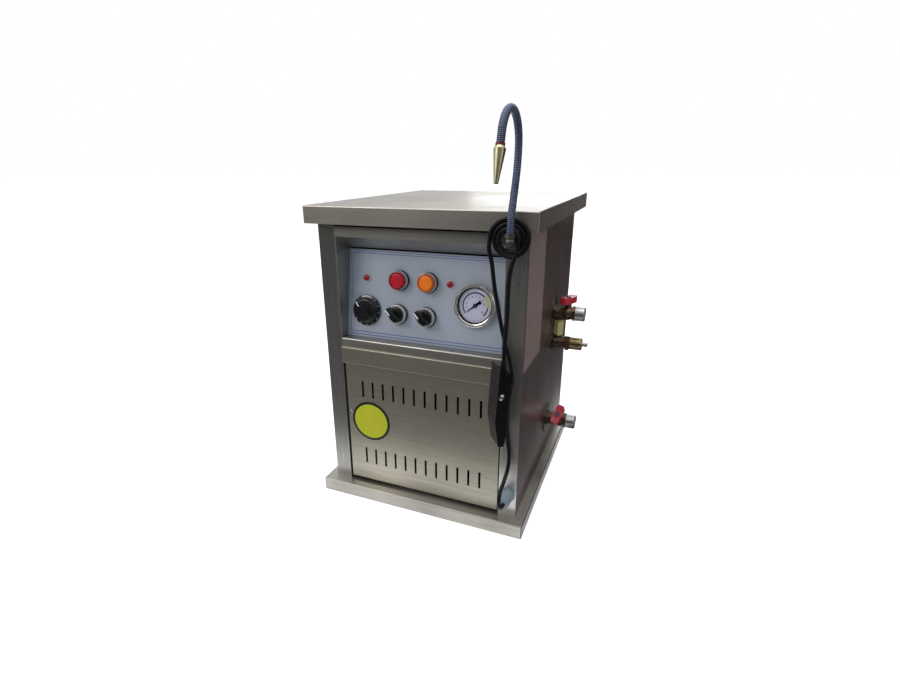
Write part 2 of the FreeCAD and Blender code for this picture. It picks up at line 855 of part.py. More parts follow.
lead_start_y = front - gland_length
coil_first_y = front - lid_front_overhang - coil_first_gap - lead_radius
coil_second_y = coil_first_y - coil_layer_pitch
coil_entry = V(coil_x - coil_radius, coil_first_y, coil_height - 2 * lead_radius)
coil_exit = V(coil_x + coil_radius - coil_half_turns * coil_pitch / 2, coil_second_y,
              coil_height - 2 * lead_radius)
pedal_across = V(math.cos(math.radians(pedal_turn)), math.sin(math.radians(pedal_turn)), 0)
pedal_side = V(math.sin(math.radians(pedal_turn)), -math.cos(math.radians(pedal_turn)), 0)
pedal_pivot = V(body_right - pedal_inset, front - pedal_forward, pedal_pivot_height)
lead_end = pedal_pivot + pedal_across * relief_offset + Z * (pedal_base_top + relief_length)

# The lead's free points, chosen by hand: in from the right side, depth ahead of the front plane, height
lower_points = ((13.0, -47.5, 65.0), (16.6, -46.5, 83.0), (16.4, -38.0, 94.5), (14.8, -27.0, 102.0),
                (13.8, -17.0, 110.0), (12.2, -10.0, 122.0), (12.8, -5.4, 144.0), (17.6, -4.0, 166.0),
                (19.6, -3.7, 192.0), (19.4, -3.7, 222.0), (15.8, -3.9, 248.0), (13.6, -4.6, 269.0),
                (18.0, -6.6, 297.0), (25.4, -10.0, 325.0), (31.8, -12.5, 354.0), (37.0, -15.0, 383.0),
                (42.4, -17.4, 412.0), (45.2, -18.6, 440.0))
upper_points = ((12.8, -27.0, 452.0), (16.6, -28.6, 438.5), (18.4, -29.8, 421.0), (18.5, -30.4, 399.0),
                (18.0, -30.2, 375.0), (19.4, -31.5, 347.0))


def lead_route(points):
    return [V(body_right - inset, front + depth, height) for inset, depth, height in points]


def bent_wire(route, name):
    """Straight runs joined by tangent arcs, each as large as its two runs allow."""
    edges = []
    radii = []
    last = route[0]
    for before, point, after in zip(route, route[1:], route[2:]):
        incoming = (point - before).normalize()
        outgoing = (after - point).normalize()
        half_turn = incoming.getAngle(outgoing) / 2
        reach = arc_share * min(point.distanceToPoint(before), point.distanceToPoint(after))
        radius = reach / math.tan(half_turn)
        start = point - incoming * reach
        end = point + outgoing * reach
        inward = (outgoing - incoming).normalize()
        middle = point + inward * (radius / math.cos(half_turn) - radius)
        edges.append(Part.LineSegment(last, start).toShape())
        edges.append(Part.Arc(start, middle, end).toShape())
        radii.append(round(radius, 1))
        last = end
    edges.append(Part.LineSegment(last, route[-1]).toShape())
    wire = Part.Wire(edges)
    print(name, "length", round(wire.Length, 1), "radii", radii)
    return wire


def swept(wire, radius, name):
    """Round tube along a path, its volume held against section times length."""
    edge = wire.Edges[0]
    start = edge.valueAt(edge.FirstParameter)
    along = edge.tangentAt(edge.FirstParameter)
    profile = Part.Wire(Part.makeCircle(radius, start, along))
    solid = wire.makePipeShell([profile], True, False)
    share = solid.Volume / (math.pi * radius ** 2 * wire.Length)
    print(name, "volume share", round(share, 4), "valid", solid.isValid())
    return solid


def lead_lower():
    """Lead from the gland, behind the pedal and up to the coil."""
    start = V(gland_x, lead_start_y, gland_height)
    rise = coil_entry - Z * (3 * lead_radius)
    route = [start] + lead_route(lower_points) + [rise, coil_entry]
    return swept(bent_wire(route, "lead_lower"), lead_radius, "lead_lower")


def lead_upper():
    """Lead from the coil, across its front and down to the pedal."""
    drop = coil_exit - Z * (3 * lead_radius)
    route = [coil_exit, drop] + lead_route(upper_points) + [lead_end + Z * relief_length, lead_end]
    return swept(bent_wire(route, "lead_upper"), lead_radius, "lead_upper")


def coil_wire():
    """Half turns, left to right over the top and back below, drawn in steadily; the last one climbs ahead."""
    ends = []
    for index in range(coil_half_turns + 1):
        side = -1 if index % 2 == 0 else 1
        y = coil_first_y if index < coil_half_turns else coil_second_y
        ends.append(V(coil_x + side * (coil_radius - index * coil_pitch / 2), y, coil_height))
    edges = [Part.LineSegment(coil_entry, ends[0]).toShape()]
    for index in range(coil_half_turns):
        first, second = ends[index], ends[index + 1]
        centre = (first + second) / 2
        over = 1 if index % 2 == 0 else -1
        top = centre + Z * (over * first.distanceToPoint(second) / 2)
        edges.append(Part.Arc(first, top, second).toShape())
    edges.append(Part.LineSegment(ends[-1], coil_exit).toShape())
    return Part.Wire(edges)


def least_gap(wire, radius):
    """Least gap of the coil to itself, measured on points spaced evenly along it."""
    points = wire.discretize(Number=coil_half_turns * 40)
    apart = math.ceil(3 * math.pi * radius / (wire.Length / len(points)))
    least = min(a.distanceToPoint(b) for index, a in enumerate(points) for b in points[index + apart:])
    return least - 2 * radius


def lead_coil():
    """Spare lead wound into a flat spiral, one unbroken tube; its inner end comes out ahead of the turns."""
    wire = coil_wire()
    print("lead_coil length", round(wire.Length, 1), "least gap", round(least_gap(wire, lead_radius), 2))
    return swept(wire, lead_radius, "lead_coil")


def gland(wall, outward, bored):
    """Cable gland: six-sided flange, domed cap and the thread through the sheet."""
    flange = hexagon(wall, outward, gland_flats, gland_flange)
    dome = cone(wall + outward * gland_flange, outward, gland_radius, gland_mouth_radius,
                gland_length - gland_flange)
    thread = rod(wall - outward * gland_thread_length, outward, gland_thread_radius, gland_thread_length)
    body = fused(flange, dome, thread)
    if bored:
        body = body.cut(rod(wall - outward * gland_thread_length, outward, lead_radius + fit_gap,
                            gland_length + gland_thread_length))
    return body


# Foot pedal, in its own frame: X across its thickness, Y towards its far side, Z up, pivot at the origin

def place_pedal(shape):
    return placed(shape, pedal_pivot, FreeCAD.Rotation(pedal_across, pedal_side * -1, Z, "ZXY"))


def pedal_prism(points, half_width):
    corners = [V(x, -half_width, z) for x, z in points]
    return Part.Face(Part.makePolygon(corners + corners[:1])).extrude(Y * (2 * half_width))


def base_profile():
    return [(pedal_tip, pedal_base_bottom), (pedal_toe, pedal_base_bottom),
            (pedal_shoulder, pedal_base_shoulder), (pedal_heel, pedal_base_top),
            (pedal_brow, pedal_base_top), (pedal_brow, 0)]


def pedal_base():
    """Wedge-shaped base, hollow towards the treadle, with bosses for the pin."""
    half = pedal_width / 2 - treadle_wall - pedal_gap
    base = pedal_prism(base_profile(), half)
    low = pedal_base_bottom + base_wall
    high = pedal_base_top - base_wall
    pocket = pedal_prism([(pedal_tip - overrun, low), (pedal_toe - base_wall, low),
                          (pedal_shoulder - base_wall, pedal_base_shoulder), (pedal_heel - base_wall, high),
                          (pedal_brow - overrun, high), (pedal_brow - overrun, 0)], half - base_wall)
    boss = rod(V(0, -half, 0), Y, pin_boss_radius, 2 * half)
    base = fused(base.cut(pocket), boss)
    return place_pedal(base.cut(rod(V(0, -pedal_width, 0), Y, pin_radius, 2 * pedal_width)))


def pedal_treadle():
    """Long plate bent at its crown and closed at its toe, its two skirts hung on the pin."""
    half = pedal_width / 2
    thick = treadle_thickness
    outer = [(treadle_top_face, treadle_top), (treadle_crown_face, treadle_crown),
             (treadle_toe_face, treadle_bottom), (treadle_toe_face + treadle_toe_depth, treadle_bottom),
             (pin_radius + thick, -2 * thick), (pin_radius + thick, 2 * thick),
             (treadle_top_face + thick, treadle_top - 2 * thick), (treadle_top_face + thick, treadle_top)]
    hollow = [(treadle_top_face + thick, treadle_top + overrun), (treadle_crown_face + thick, treadle_crown),
              (treadle_toe_face + thick, treadle_bottom + thick / 2),
              (pedal_shoulder, treadle_bottom + thick / 2), (pedal_shoulder, treadle_top + overrun)]
    body = pedal_prism(outer, half)
    long_edges = [edge for edge in body.Edges if edge.Length > pedal_width + fit_gap
                  and edge.BoundBox.XMax < treadle_toe_face + fit_gap]
    body = body.makeFillet(treadle_wall - fit_gap, long_edges)
    body = body.cut(pedal_prism(hollow, half - treadle_wall))
    return place_pedal(body.cut(rod(V(0, -pedal_width, 0), Y, pin_radius + running_gap, 2 * pedal_width)))


def pedal_pin():
    """Hinge pin through skirts and base, with a domed head at each end."""
    half = pedal_width / 2 + running_gap
    pin = rod(V(0, -half, 0), Y, pin_radius, 2 * half)
    near = cone(V(0, -half, 0), Y * -1, pin_head_radius, pin_radius, pin_head_height)
    far = cone(V(0, half, 0), Y, pin_head_radius, pin_radius, pin_head_height)
    return place_pedal(fused(pin, near, far))


def pedal_feet():
    """Four rubber feet on the back of the base."""
    half = pedal_width / 2 - treadle_wall - pedal_gap
    base = pedal_prism(base_profile(), half)
    slope = (pedal_shoulder - pedal_toe) / (pedal_base_shoulder - pedal_base_bottom)
    feet = []
    for height in (upper_foot, lower_foot):
        start = pedal_toe + slope * (height - pedal_base_bottom) - base_wall
        for side in (-1, 1):
            middle = V(start, side * (half - foot_inset), height)
            foot = cone(middle, X, foot_radius, foot_radius - edge_round / 2, base_wall + foot_reach)
            feet.append(place_pedal(foot.cut(base)))
    return Part.makeCompound([solid for foot in feet for solid in foot.Solids])


def pedal_relief():
    """Tapered strain relief on top of the base, where the lead goes in."""
    start = V(relief_offset, 0, pedal_base_top)
    return place_pedal(cone(start, Z, relief_radius, relief_tip_radius, relief_length))


# Valves

def place_valve(shape, depth, height, turn):
    """Turn a valve built along X about its own pipe and set it on the right side."""
    return placed(shape, V(body_right, front + depth, height), FreeCAD.Rotation(X, turn))


def valve_lock_nuts():
    """Washer and nut of each of the three fittings, against the right side."""
    nuts = []
    for (depth, height), radius in zip(valve_places, washer_radii):
        washer = rod(V(0, 0, 0), X, radius, valve_washer_height)
        nut = hexagon(X * valve_washer_height, X, valve_nut_flats, valve_nut_height)
        bore = rod(X * -overrun, X, valve_thread_radius, valve_washer_height + valve_nut_height + 2 * overrun)
        nuts.append(place_valve(fused(washer, nut).cut(bore), depth, height, 0))
    return Part.makeCompound(nuts)


def ball_valve(depth, height, turn, port):
    """Brass ball valve: threaded tail through the side, round middle, bonnet and plain end."""
    nut_end = valve_washer_height + valve_nut_height
    tail = rod(X * (-overrun - sheet), X, valve_thread_radius, overrun + sheet + nut_end)
    body = rod(X * nut_end, X, valve_radius, valve_length - nut_end)
    grip = hexagon(X * (valve_length - valve_grip_length), X, valve_grip_flats, valve_grip_length)
    ball = Part.makeSphere(valve_ball_radius, X * valve_ball_at)
    bonnet = rod(X * valve_ball_at, Z, bonnet_radius, bonnet_height)
    pieces = [body, grip, ball, bonnet]
    if port:
        pieces.append(rod(X * tee_x, Z * -1, tee_leg_radius, tee_leg_height))
    valve = fused(tail, *pieces)
    well = rod(X * valve_ball_at + Z * (bonnet_height - stem_radius), Z, stem_radius + running_gap, overrun)
    bore = rod(X * (-overrun - sheet), X, valve_bore_radius, valve_length + overrun + sheet)
    return place_valve(valve.cut(well).cut(bore), depth, height, turn)


def valve_outlets():
    """The two chromed outlets, each with a female pipe thread."""
    ring = rod(X * valve_length, X, outlet_radius, outlet_length)
    ring = ring.makeChamfer(edge_round / 2, [edge for edge in ring.Edges if len(edge.Vertexes) == 1])
    thread_start = valve_length + outlet_length - outlet_thread_length
    thread = rod(X * thread_start, X, outlet_thread_radius, outlet_thread_length)
    bore = rod(X * valve_length, X, valve_bore_radius, outlet_length)
    outlet = ring.cut(thread).cut(bore)
    places = ((valve_y, inlet_height), (drain_y, drain_height))
    return Part.makeCompound([place_valve(outlet, depth, height, 0) for depth, height in places])


def valve_handle(depth, height, turn, spin):
    """Butterfly handle: a flat hub with a wing rising on each side, on the valve's stem."""
    low = hub_height
    high = low + handle_rise
    thick = handle_thickness
    reach = handle_flat + handle_wing
    outline = [(-reach, high), (-handle_flat, low), (handle_flat, low), (reach, high), (reach, high + thick),
               (handle_flat, low + thick), (-handle_flat, low + thick), (-reach, high + thick)]
    corners = [V(x, -handle_width / 2, z) for x, z in outline]
    plate = Part.Face(Part.makePolygon(corners + corners[:1])).extrude(Y * handle_width)
    round_ended = box(-reach, reach, -handle_width / 2, handle_width / 2, low, high + thick)
    plate = plate.common(round_ended.makeFillet(handle_width / 3, upright_edges(round_ended)))
    stem = rod(Z * (bonnet_height - stem_radius), Z, stem_radius, low + thick + stem_radius - bonnet_height)
    handle = fused(plate, stem)
    handle.rotate(V(0, 0, 0), Z, spin)
    handle.translate(X * valve_ball_at)
    return place_valve(handle, depth, height, turn)


def handle_nut(depth, height, turn):
    """Nut on top of the stem."""
    start = X * valve_ball_at + Z * (hub_height + handle_thickness)
    return place_valve(hexagon(start, Z, handle_nut_flats, handle_nut_height), depth, height, turn)


def relief_tee():
    """Brass tee: threaded tail, pale flange, leg up to the bridge, plug below and a six-sided collar."""
    nut_end = valve_washer_height + valve_nut_height
    tail = rod(X * (-overrun - sheet), X, valve_thread_radius, overrun + sheet + nut_end)
    body = rod(X * nut_end, X, valve_radius, tee_length - nut_end)
    flange = rod(X * tee_flange_at, X, tee_flange_radius, tee_flange_height)
    leg = rod(X * tee_x, Z, tee_leg_radius, tee_leg_height)
    collar = hexagon(X * (tee_length - tee_collar_length), X, tee_collar_flats, tee_collar_length)
    plug = rod(X * (tee_length - tee_collar_length / 2), Z * -1, tee_plug_radius,
               tee_collar_flats / 2 + tee_plug_height)
    tee = fused(tail, body, flange, leg, collar, plug)
    bore = rod(X * (-overrun - sheet), X, valve_bore_radius, tee_length + sheet)
    return place_valve(tee.cut(bore), valve_y, relief_height, 0)


def relief_bridge():
    """Six-sided nipple that stands on the tee and carries on up to the inlet valve."""
    x = body_right + tee_x
    y = front + valve_y
    low = relief_height + tee_leg_height
    high = inlet_height - tee_leg_height
    grip_length = relief_drop - bridge_foot - bridge_head
    grip = hexagon(V(x, y, relief_height + bridge_foot), Z, bridge_flats, grip_length)
    spigot = rod(V(x, y, low), Z, bridge_spigot_radius, high - low)
    return fused(grip, spigot)


def relief_cap():
    """Round spring cap with a softened rim and the stem's bore."""
    start = X * tee_length
    cap = rod(start, X, cap_body_radius, cap_body_length)
    rims = [edge for edge in cap.Edges if len(edge.Vertexes) == 1]
    cap = cap.makeFillet(cap_body_round / 2, rims)
    bore = rod(start + X * (cap_body_length - relief_stem_inside), X, relief_stem_radius + running_gap,
               relief_stem_inside + overrun)
    return place_valve(cap.cut(bore), valve_y, relief_height, 0)


def relief_stem():
    """Pull stem of the relief valve."""
    start = X * (tee_length + cap_body_length - relief_stem_inside + fit_gap)
    stem = rod(start, X, relief_stem_radius, relief_stem_inside - fit_gap + relief_stem_reach)
    end = tee_length + cap_body_length + relief_stem_reach
    stem = stem.makeChamfer(edge_round / 4, [edge for edge in stem.Edges
                                             if len(edge.Vertexes) == 1 and edge.BoundBox.XMin > end - fit_gap])
    return place_valve(stem, valve_y, relief_height, 0)


# Inside the cabinet

def boiler_shell():
    """Upright pressure vessel with domed ends, on three legs, with the pipes to the right side welded on."""
    y = front + boiler_y
    wall = rod(V(0, y, boiler_bottom), Z, boiler_radius, boiler_top - boiler_bottom)
    crown = cone(V(0, y, boiler_top), Z, boiler_radius, boiler_radius / 3, boiler_dome)
    sump = cone(V(0, y, boiler_bottom), Z * -1, boiler_radius, boiler_radius / 3, boiler_dome)
    inner = boiler_radius - boiler_wall
    room = rod(V(0, y, boiler_bottom), Z, inner, boiler_top - boiler_bottom)
    neck = boiler_radius / 3 - boiler_wall
    upper = cone(V(0, y, boiler_top), Z, inner, neck, boiler_dome - boiler_wall)
    lower = cone(V(0, y, boiler_bottom), Z * -1, inner, neck, boiler_dome - boiler_wall)
    added = []
    for index in range(boiler_leg_count):
        angle = 2 * math.pi * index / boiler_leg_count
        foot = V(boiler_leg_circle * math.cos(angle), y + boiler_leg_circle * math.sin(angle), tray_height)
        added.append(rod(foot, Z, boiler_leg_radius, boiler_bottom - tray_height))
    bores = []
    for depth, height in valve_places:
        start = V(0, front + depth, height)
        added.append(rod(start, X, pipe_radius, body_right - sheet - overrun))
        bores.append(rod(start, X, pipe_bore_radius, body_right))
    shell = fused(wall, crown, sump, *added).cut(fused(room, upper, lower, *bores))
    port = rod(V(0, y, heater_height), forward, heater_flange_radius / 2, boiler_radius + overrun)
    return shell.cut(port)


def heater():
    """Flange in front of the boiler and the bent rod that reaches into the water."""
    y = front + boiler_y - boiler_radius
    flange = rod(V(0, y, heater_height), forward, heater_flange_radius, heater_flange_height)
    neck = rod(V(0, y + heater_flange_height, heater_height), forward,
               heater_flange_radius / 2 - fit_gap, heater_flange_height)
    low = V(0, y + heater_flange_height, heater_height - heater_bend / 2)
    high = V(0, y + heater_flange_height, heater_height + heater_bend / 2)
    limb = heater_reach - heater_flange_height
    limbs = [rod(start, Y, heater_rod_radius, limb) for start in (low, high)]
    bend = Part.makeTorus(heater_bend / 2, heater_rod_radius, V(0, y + heater_reach, heater_height), X)
    behind = box(-heater_bend, heater_bend, y + heater_reach, y + heater_reach + heater_bend,
                 heater_height - heater_bend, heater_height + heater_bend)
    return fused(flange, neck, limbs[0], limbs[1], bend.common(behind))


def solenoid_valve():
    """Steam valve on the boiler's crown: a brass foot under a square coil."""
    y = front + boiler_y
    base = boiler_top + boiler_dome
    half = solenoid_width / 2
    foot = rod(V(0, y, base), Z, solenoid_foot, solenoid_foot)
    low = base + solenoid_foot
    return fused(foot, box(-half, half, y - half, y + half, low, low + solenoid_height))


def steam_pipe():
    """Pipe from the solenoid valve, round the control panel and out to the elbow's nipple."""
    level = boiler_top + boiler_dome + solenoid_foot + solenoid_height / 2
    y = front + boiler_y
    route = [V(solenoid_width / 2, y, level), V(steam_pipe_x, y, level),
             V(neck_x, y - boiler_radius, level + steam_pipe_bend),
             V(neck_x, front + steam_pipe_x + post_return, elbow_height),
             V(neck_x, front + post_return, elbow_height)]
    return swept(bent_wire(route, "steam_pipe"), nipple_radius, "steam_pipe")


pieces = {
    "base_tray": base_tray(),
    "left_side_panel": side_panel(-1),
    "right_side_panel": side_panel(1),
    "back_panel": back_panel(),
    "panel_surround": panel_surround(),
    "control_panel": control_panel(),
    "sill_rail": sill_rail(),
    "cover_strip": cover_strip(),
    "vent_cover": vent_cover(),
    "cover_screws": cover_screws(),
    "lid": lid(),
    "round_plate": round_plate(),
    "side_plate": side_plate(),
    "gauge_case": gauge_case(),
    "gauge_bezel": gauge_bezel(),
    "gauge_dial": gauge_dial(),
    "gauge_glass": gauge_glass(),
    "gauge_needle": gauge_needle(),
    "button_bezels": button_bezels(),
    "red_button": push_button(red_button_at),
    "amber_button": push_button(amber_button_at),
    "pilot_lamps": pilot_lamps(),
    "selector_rings": selector_rings(),
    "left_selector": selector(selector_places[0]),
    "right_selector": selector(selector_places[1]),
    "main_knob": main_knob(),
    "thermostat_body": thermostat_body(),
    "neck_elbow": neck_elbow(),
    "neck_lock_nut": neck_lock_nut(),
    "hose_lower": ribbed_hose(0, lower_ribs),
    "hose_flex": ribbed_hose(lower_ribs, lower_ribs + flex_ribs),
    "hose_upper": ribbed_hose(lower_ribs + flex_ribs, rib_count),
    "hose_ferrule": hose_ferrule(),
    "steam_nozzle": steam_nozzle(),
    "pedal_gland": gland(V(gland_x, front, gland_height), forward, False),
    "mains_gland": gland(V(mains_gland_x, rear - sheet, gland_height), Y, True),
    "lead_lower": lead_lower(),
    "lead_coil": lead_coil(),
    "lead_upper": lead_upper(),
    "pedal_base": pedal_base(),
    "pedal_treadle": pedal_treadle(),
    "pedal_pin": pedal_pin(),
    "pedal_feet": pedal_feet(),
    "pedal_relief": pedal_relief(),
    "valve_lock_nuts": valve_lock_nuts(),
    "inlet_valve": ball_valve(valve_y, inlet_height, 0, True),
    "valve_outlets": valve_outlets(),
    "inlet_handle": valve_handle(valve_y, inlet_height, 0, inlet_handle_turn),
    "inlet_handle_nut": handle_nut(valve_y, inlet_height, 0),
    "drain_valve": ball_valve(drain_y, drain_height, drain_lean, False),
    "drain_handle": valve_handle(drain_y, drain_height, drain_lean, drain_handle_turn),
    "drain_handle_nut": handle_nut(drain_y, drain_height, drain_lean),
    "relief_tee": relief_tee(),
    "relief_bridge": relief_bridge(),
    "relief_cap": relief_cap(),
    "relief_stem": relief_stem(),
    "boiler_shell": boiler_shell(),
    "heater": heater(),
    "solenoid_valve": solenoid_valve(),
    "steam_pipe": steam_pipe(),
}

os.makedirs("parts", exist_ok=True)
for name, shape in pieces.items():
    shape.exportStep("parts/" + name + ".step")
print(len(pieces), "pieces")
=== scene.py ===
import math

import bmesh
import bpy
import numpy as np
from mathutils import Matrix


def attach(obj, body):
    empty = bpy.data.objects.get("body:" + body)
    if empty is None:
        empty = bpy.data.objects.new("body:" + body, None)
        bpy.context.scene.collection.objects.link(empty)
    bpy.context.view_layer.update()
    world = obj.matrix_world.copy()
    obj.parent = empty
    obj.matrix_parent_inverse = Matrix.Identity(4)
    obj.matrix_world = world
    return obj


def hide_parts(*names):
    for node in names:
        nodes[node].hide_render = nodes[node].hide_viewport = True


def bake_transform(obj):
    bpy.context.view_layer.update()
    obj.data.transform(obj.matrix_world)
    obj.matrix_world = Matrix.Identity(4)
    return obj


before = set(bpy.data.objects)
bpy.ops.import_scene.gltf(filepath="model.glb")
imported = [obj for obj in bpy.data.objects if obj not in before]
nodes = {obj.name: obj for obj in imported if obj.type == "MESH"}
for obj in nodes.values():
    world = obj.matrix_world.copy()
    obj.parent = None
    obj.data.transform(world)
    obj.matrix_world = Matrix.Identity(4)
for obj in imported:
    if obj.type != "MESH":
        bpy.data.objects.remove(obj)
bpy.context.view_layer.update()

scene = bpy.context.scene
scene.view_settings.view_transform = "Standard"

# Camera
# Stands to the right of the middle, a little above the lid, and looks down on the front and right side.
camera = bpy.data.objects.new("camera", bpy.data.cameras.new("camera"))
camera.location = (0.32987, -0.89842, 0.57467)
camera.rotation_euler = [math.radians(angle) for angle in (70.4006, 0.5051, 22.9427)]
camera.data.lens = 20.82
camera.data.shift_x = 0.01718
camera.data.shift_y = 0.00981
scene.collection.objects.link(camera)
scene.camera = camera

# Pedal lead
# Round black rubber cable: out of its gland, behind the pedal and up the post, wound on the neck's elbow into a
# flat spiral, then out of the middle, across the turns and down to the pedal's strain relief.
lead_radius = 0.0030
front = -0.195
rising = [(0.1570, -0.0300, 0.0650), (0.1570, -0.0475, 0.0650), (0.1534, -0.0465, 0.0830),
          (0.1536, -0.0380, 0.0945), (0.1552, -0.0270, 0.1020), (0.1562, -0.0170, 0.1100),
          (0.1578, -0.0100, 0.1220), (0.1572, -0.0054, 0.1440), (0.1524, -0.0040, 0.1660),
          (0.1504, -0.0037, 0.1920), (0.1506, -0.0037, 0.2220), (0.1542, -0.0039, 0.2480),
          (0.1564, -0.0046, 0.2690), (0.1520, -0.0066, 0.2970), (0.1446, -0.0100, 0.3250),
          (0.1382, -0.0125, 0.3540), (0.1330, -0.0150, 0.3830), (0.1276, -0.0174, 0.4120),
          (0.1248, -0.0186, 0.4400), (0.1195, -0.0191, 0.4600), (0.1195, -0.0191, 0.4680)]
coil_centre = (0.1485, -0.0191, 0.4755)
coil_first_radius = 0.0290
coil_pitch = 0.0066
coil_half_turns = 5
coil_step_forward = -0.0068
points_in_half_turn = 9
falling = [(0.16125, -0.0259, 0.4640), (0.1572, -0.0270, 0.4520), (0.1534, -0.0286, 0.4385),
           (0.1516, -0.0298, 0.4210), (0.1515, -0.0304, 0.3990), (0.1520, -0.0302, 0.3750),
           (0.1506, -0.0315, 0.3470), (0.1501, -0.0338, 0.3195), (0.1501, -0.0338, 0.3065)]

half_turns = np.linspace(0, coil_half_turns, coil_half_turns * points_in_half_turn + 1)[1:]
radius = coil_first_radius - coil_pitch / 2 * half_turns
turns = np.stack([coil_centre[0] - radius * np.cos(math.pi * half_turns),
                  coil_centre[1] + coil_step_forward * np.clip(half_turns - coil_half_turns + 1, 0, 1),
                  coil_centre[2] + radius * np.sin(math.pi * half_turns)], axis=1)
route = [(x, front + y, z) for x, y, z in rising + turns.tolist() + falling]

# The thickness is in the points' own radius, which the curve's box also adds, so that the box is the cable's.
curve = bpy.data.curves.new("pedal_lead", "CURVE")
curve.dimensions = "3D"
curve.bevel_depth = 1.0
curve.bevel_resolution = 4
curve.resolution_u = 6
curve.use_fill_caps = True
spline = curve.splines.new("NURBS")
spline.points.add(len(route) - 1)
for point, place in zip(spline.points, route):
    point.co = (*place, 1)
    point.radius = lead_radius
spline.order_u = 3
spline.use_endpoint_u = True
pedal_lead = bpy.data.objects.new("pedal_lead", curve)
scene.collection.objects.link(pedal_lead)
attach(pedal_lead, "cabinet")
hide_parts("lead_lower", "lead_coil", "lead_upper")


def paint(red, green, blue):
    """Colour as read off a screen, 0 to 255, turned into the shader's linear values."""
    values = [value / 255 for value in (red, green, blue)]
    return [v / 12.92 if v <= 0.04045 else ((v + 0.055) / 1.055) ** 2.4 for v in values] + [1.0]


def finish(name, colour, second, grain, roughness, drift=0.08, smear=9.0, relief=0.0, mottle=0.5, **sockets):
    """Finish that wavers between two colours: a fine noise, stretched by grain, mixed with a broad smear.

    Roughness wavers with them by drift, and relief raises the fine noise by that height in metres.
    """
    material = bpy.data.materials.new(name)
    material.use_nodes = True
    tree = material.node_tree
    shader = tree.nodes["Principled BSDF"]
    for socket, value in sockets.items():
        shader.inputs[socket.replace("_", " ")].default_value = value
    place = tree.nodes.new("ShaderNodeTexCoord")
    stretch = tree.nodes.new("ShaderNodeMapping")
    stretch.inputs["Scale"].default_value = grain
    tree.links.new(place.outputs["Object"], stretch.inputs["Vector"])
    fine = tree.nodes.new("ShaderNodeTexNoise")
    fine.inputs["Scale"].default_value = 1.0
    fine.inputs["Detail"].default_value = 4.0
    tree.links.new(stretch.outputs[0], fine.inputs["Vector"])
    broad = tree.nodes.new("ShaderNodeTexNoise")
    broad.inputs["Scale"].default_value = smear
    broad.inputs["Detail"].default_value = 2.0
    tree.links.new(place.outputs["Object"], broad.inputs["Vector"])
    blend = tree.nodes.new("ShaderNodeMix")
    blend.inputs["Factor"].default_value = mottle
    tree.links.new(fine.outputs[0], blend.inputs[2])
    tree.links.new(broad.outputs[0], blend.inputs[3])
    waver = tree.nodes.new("ShaderNodeMapRange")
    waver.inputs["From Min"].default_value = 0.3
    waver.inputs["From Max"].default_value = 0.7
    tree.links.new(blend.outputs[0], waver.inputs["Value"])
    tint = tree.nodes.new("ShaderNodeMix")
    tint.data_type = "RGBA"
    tint.label = "tint"
    tint.inputs[6].default_value = colour
    tint.inputs[7].default_value = second
    tree.links.new(waver.outputs[0], tint.inputs["Factor"])
    tree.links.new(tint.outputs[2], shader.inputs["Base Color"])
    gloss = tree.nodes.new("ShaderNodeMapRange")
    gloss.inputs["To Min"].default_value = roughness - drift
    gloss.inputs["To Max"].default_value = roughness + drift
    tree.links.new(waver.outputs[0], gloss.inputs["Value"])
    tree.links.new(gloss.outputs[0], shader.inputs["Roughness"])
    if relief:
        bump = tree.nodes.new("ShaderNodeBump")
        bump.inputs["Distance"].default_value = relief
        tree.links.new(fine.outputs[0], bump.inputs["Height"])
        tree.links.new(bump.outputs[0], shader.inputs["Normal"])
    return material


black_rubber = finish("black_rubber", paint(22, 22, 24), paint(14, 14, 16), (900, 900, 900), 0.34, smear=60,
                      relief=0.00004, Specular_IOR_Level=0.18)
curve.materials.append(black_rubber)

# Light
# A large soft lamp in front and to the left, a wide one overhead, and a window behind that the lid mirrors.
def lamp(name, place, aim, size, watts, colour):
    """Rectangular soft lamp at a place, turned to its aim and hidden from the camera."""
    light = bpy.data.lights.new(name, "AREA")
    light.shape = "RECTANGLE"
    light.size, light.size_y = size
    light.energy = watts
    light.color = colour
    holder = bpy.data.objects.new(name, light)
    holder.location = place
    direction = [there - here for here, there in zip(place, aim)]
    flat = math.hypot(direction[0], direction[1])
    holder.rotation_euler = (math.atan2(flat, -direction[2]), 0, math.atan2(-direction[0], direction[1]))
    holder.visible_camera = False
    scene.collection.objects.link(holder)


lamp("front_lamp", (-1.3, -1.7, 1.6), (0, 0, 0.3), (1.2, 1.0), 18, (1, 0.98, 0.95))
lamp("top_lamp", (0.0, -0.1, 2.2), (0, 0, 0.5), (1.8, 1.8), 22, (0.97, 0.98, 1))
lamp("rear_window", (-0.9, 3.0, 1.0), (0, 0, 0.6), (3.6, 1.8), 26, (1, 1, 1))


def seen_white(tree, ray):
    """One for camera, glossy and transmission rays, which see the plain white surroundings."""
    total = ray.outputs["Is Camera Ray"]
    for kind in ("Is Glossy Ray", "Is Transmission Ray"):
        wider = tree.nodes.new("ShaderNodeMath")
        wider.operation = "MAXIMUM"
        tree.links.new(total, wider.inputs[0])
        tree.links.new(ray.outputs[kind], wider.inputs[1])
        total = wider.outputs[0]
    return total


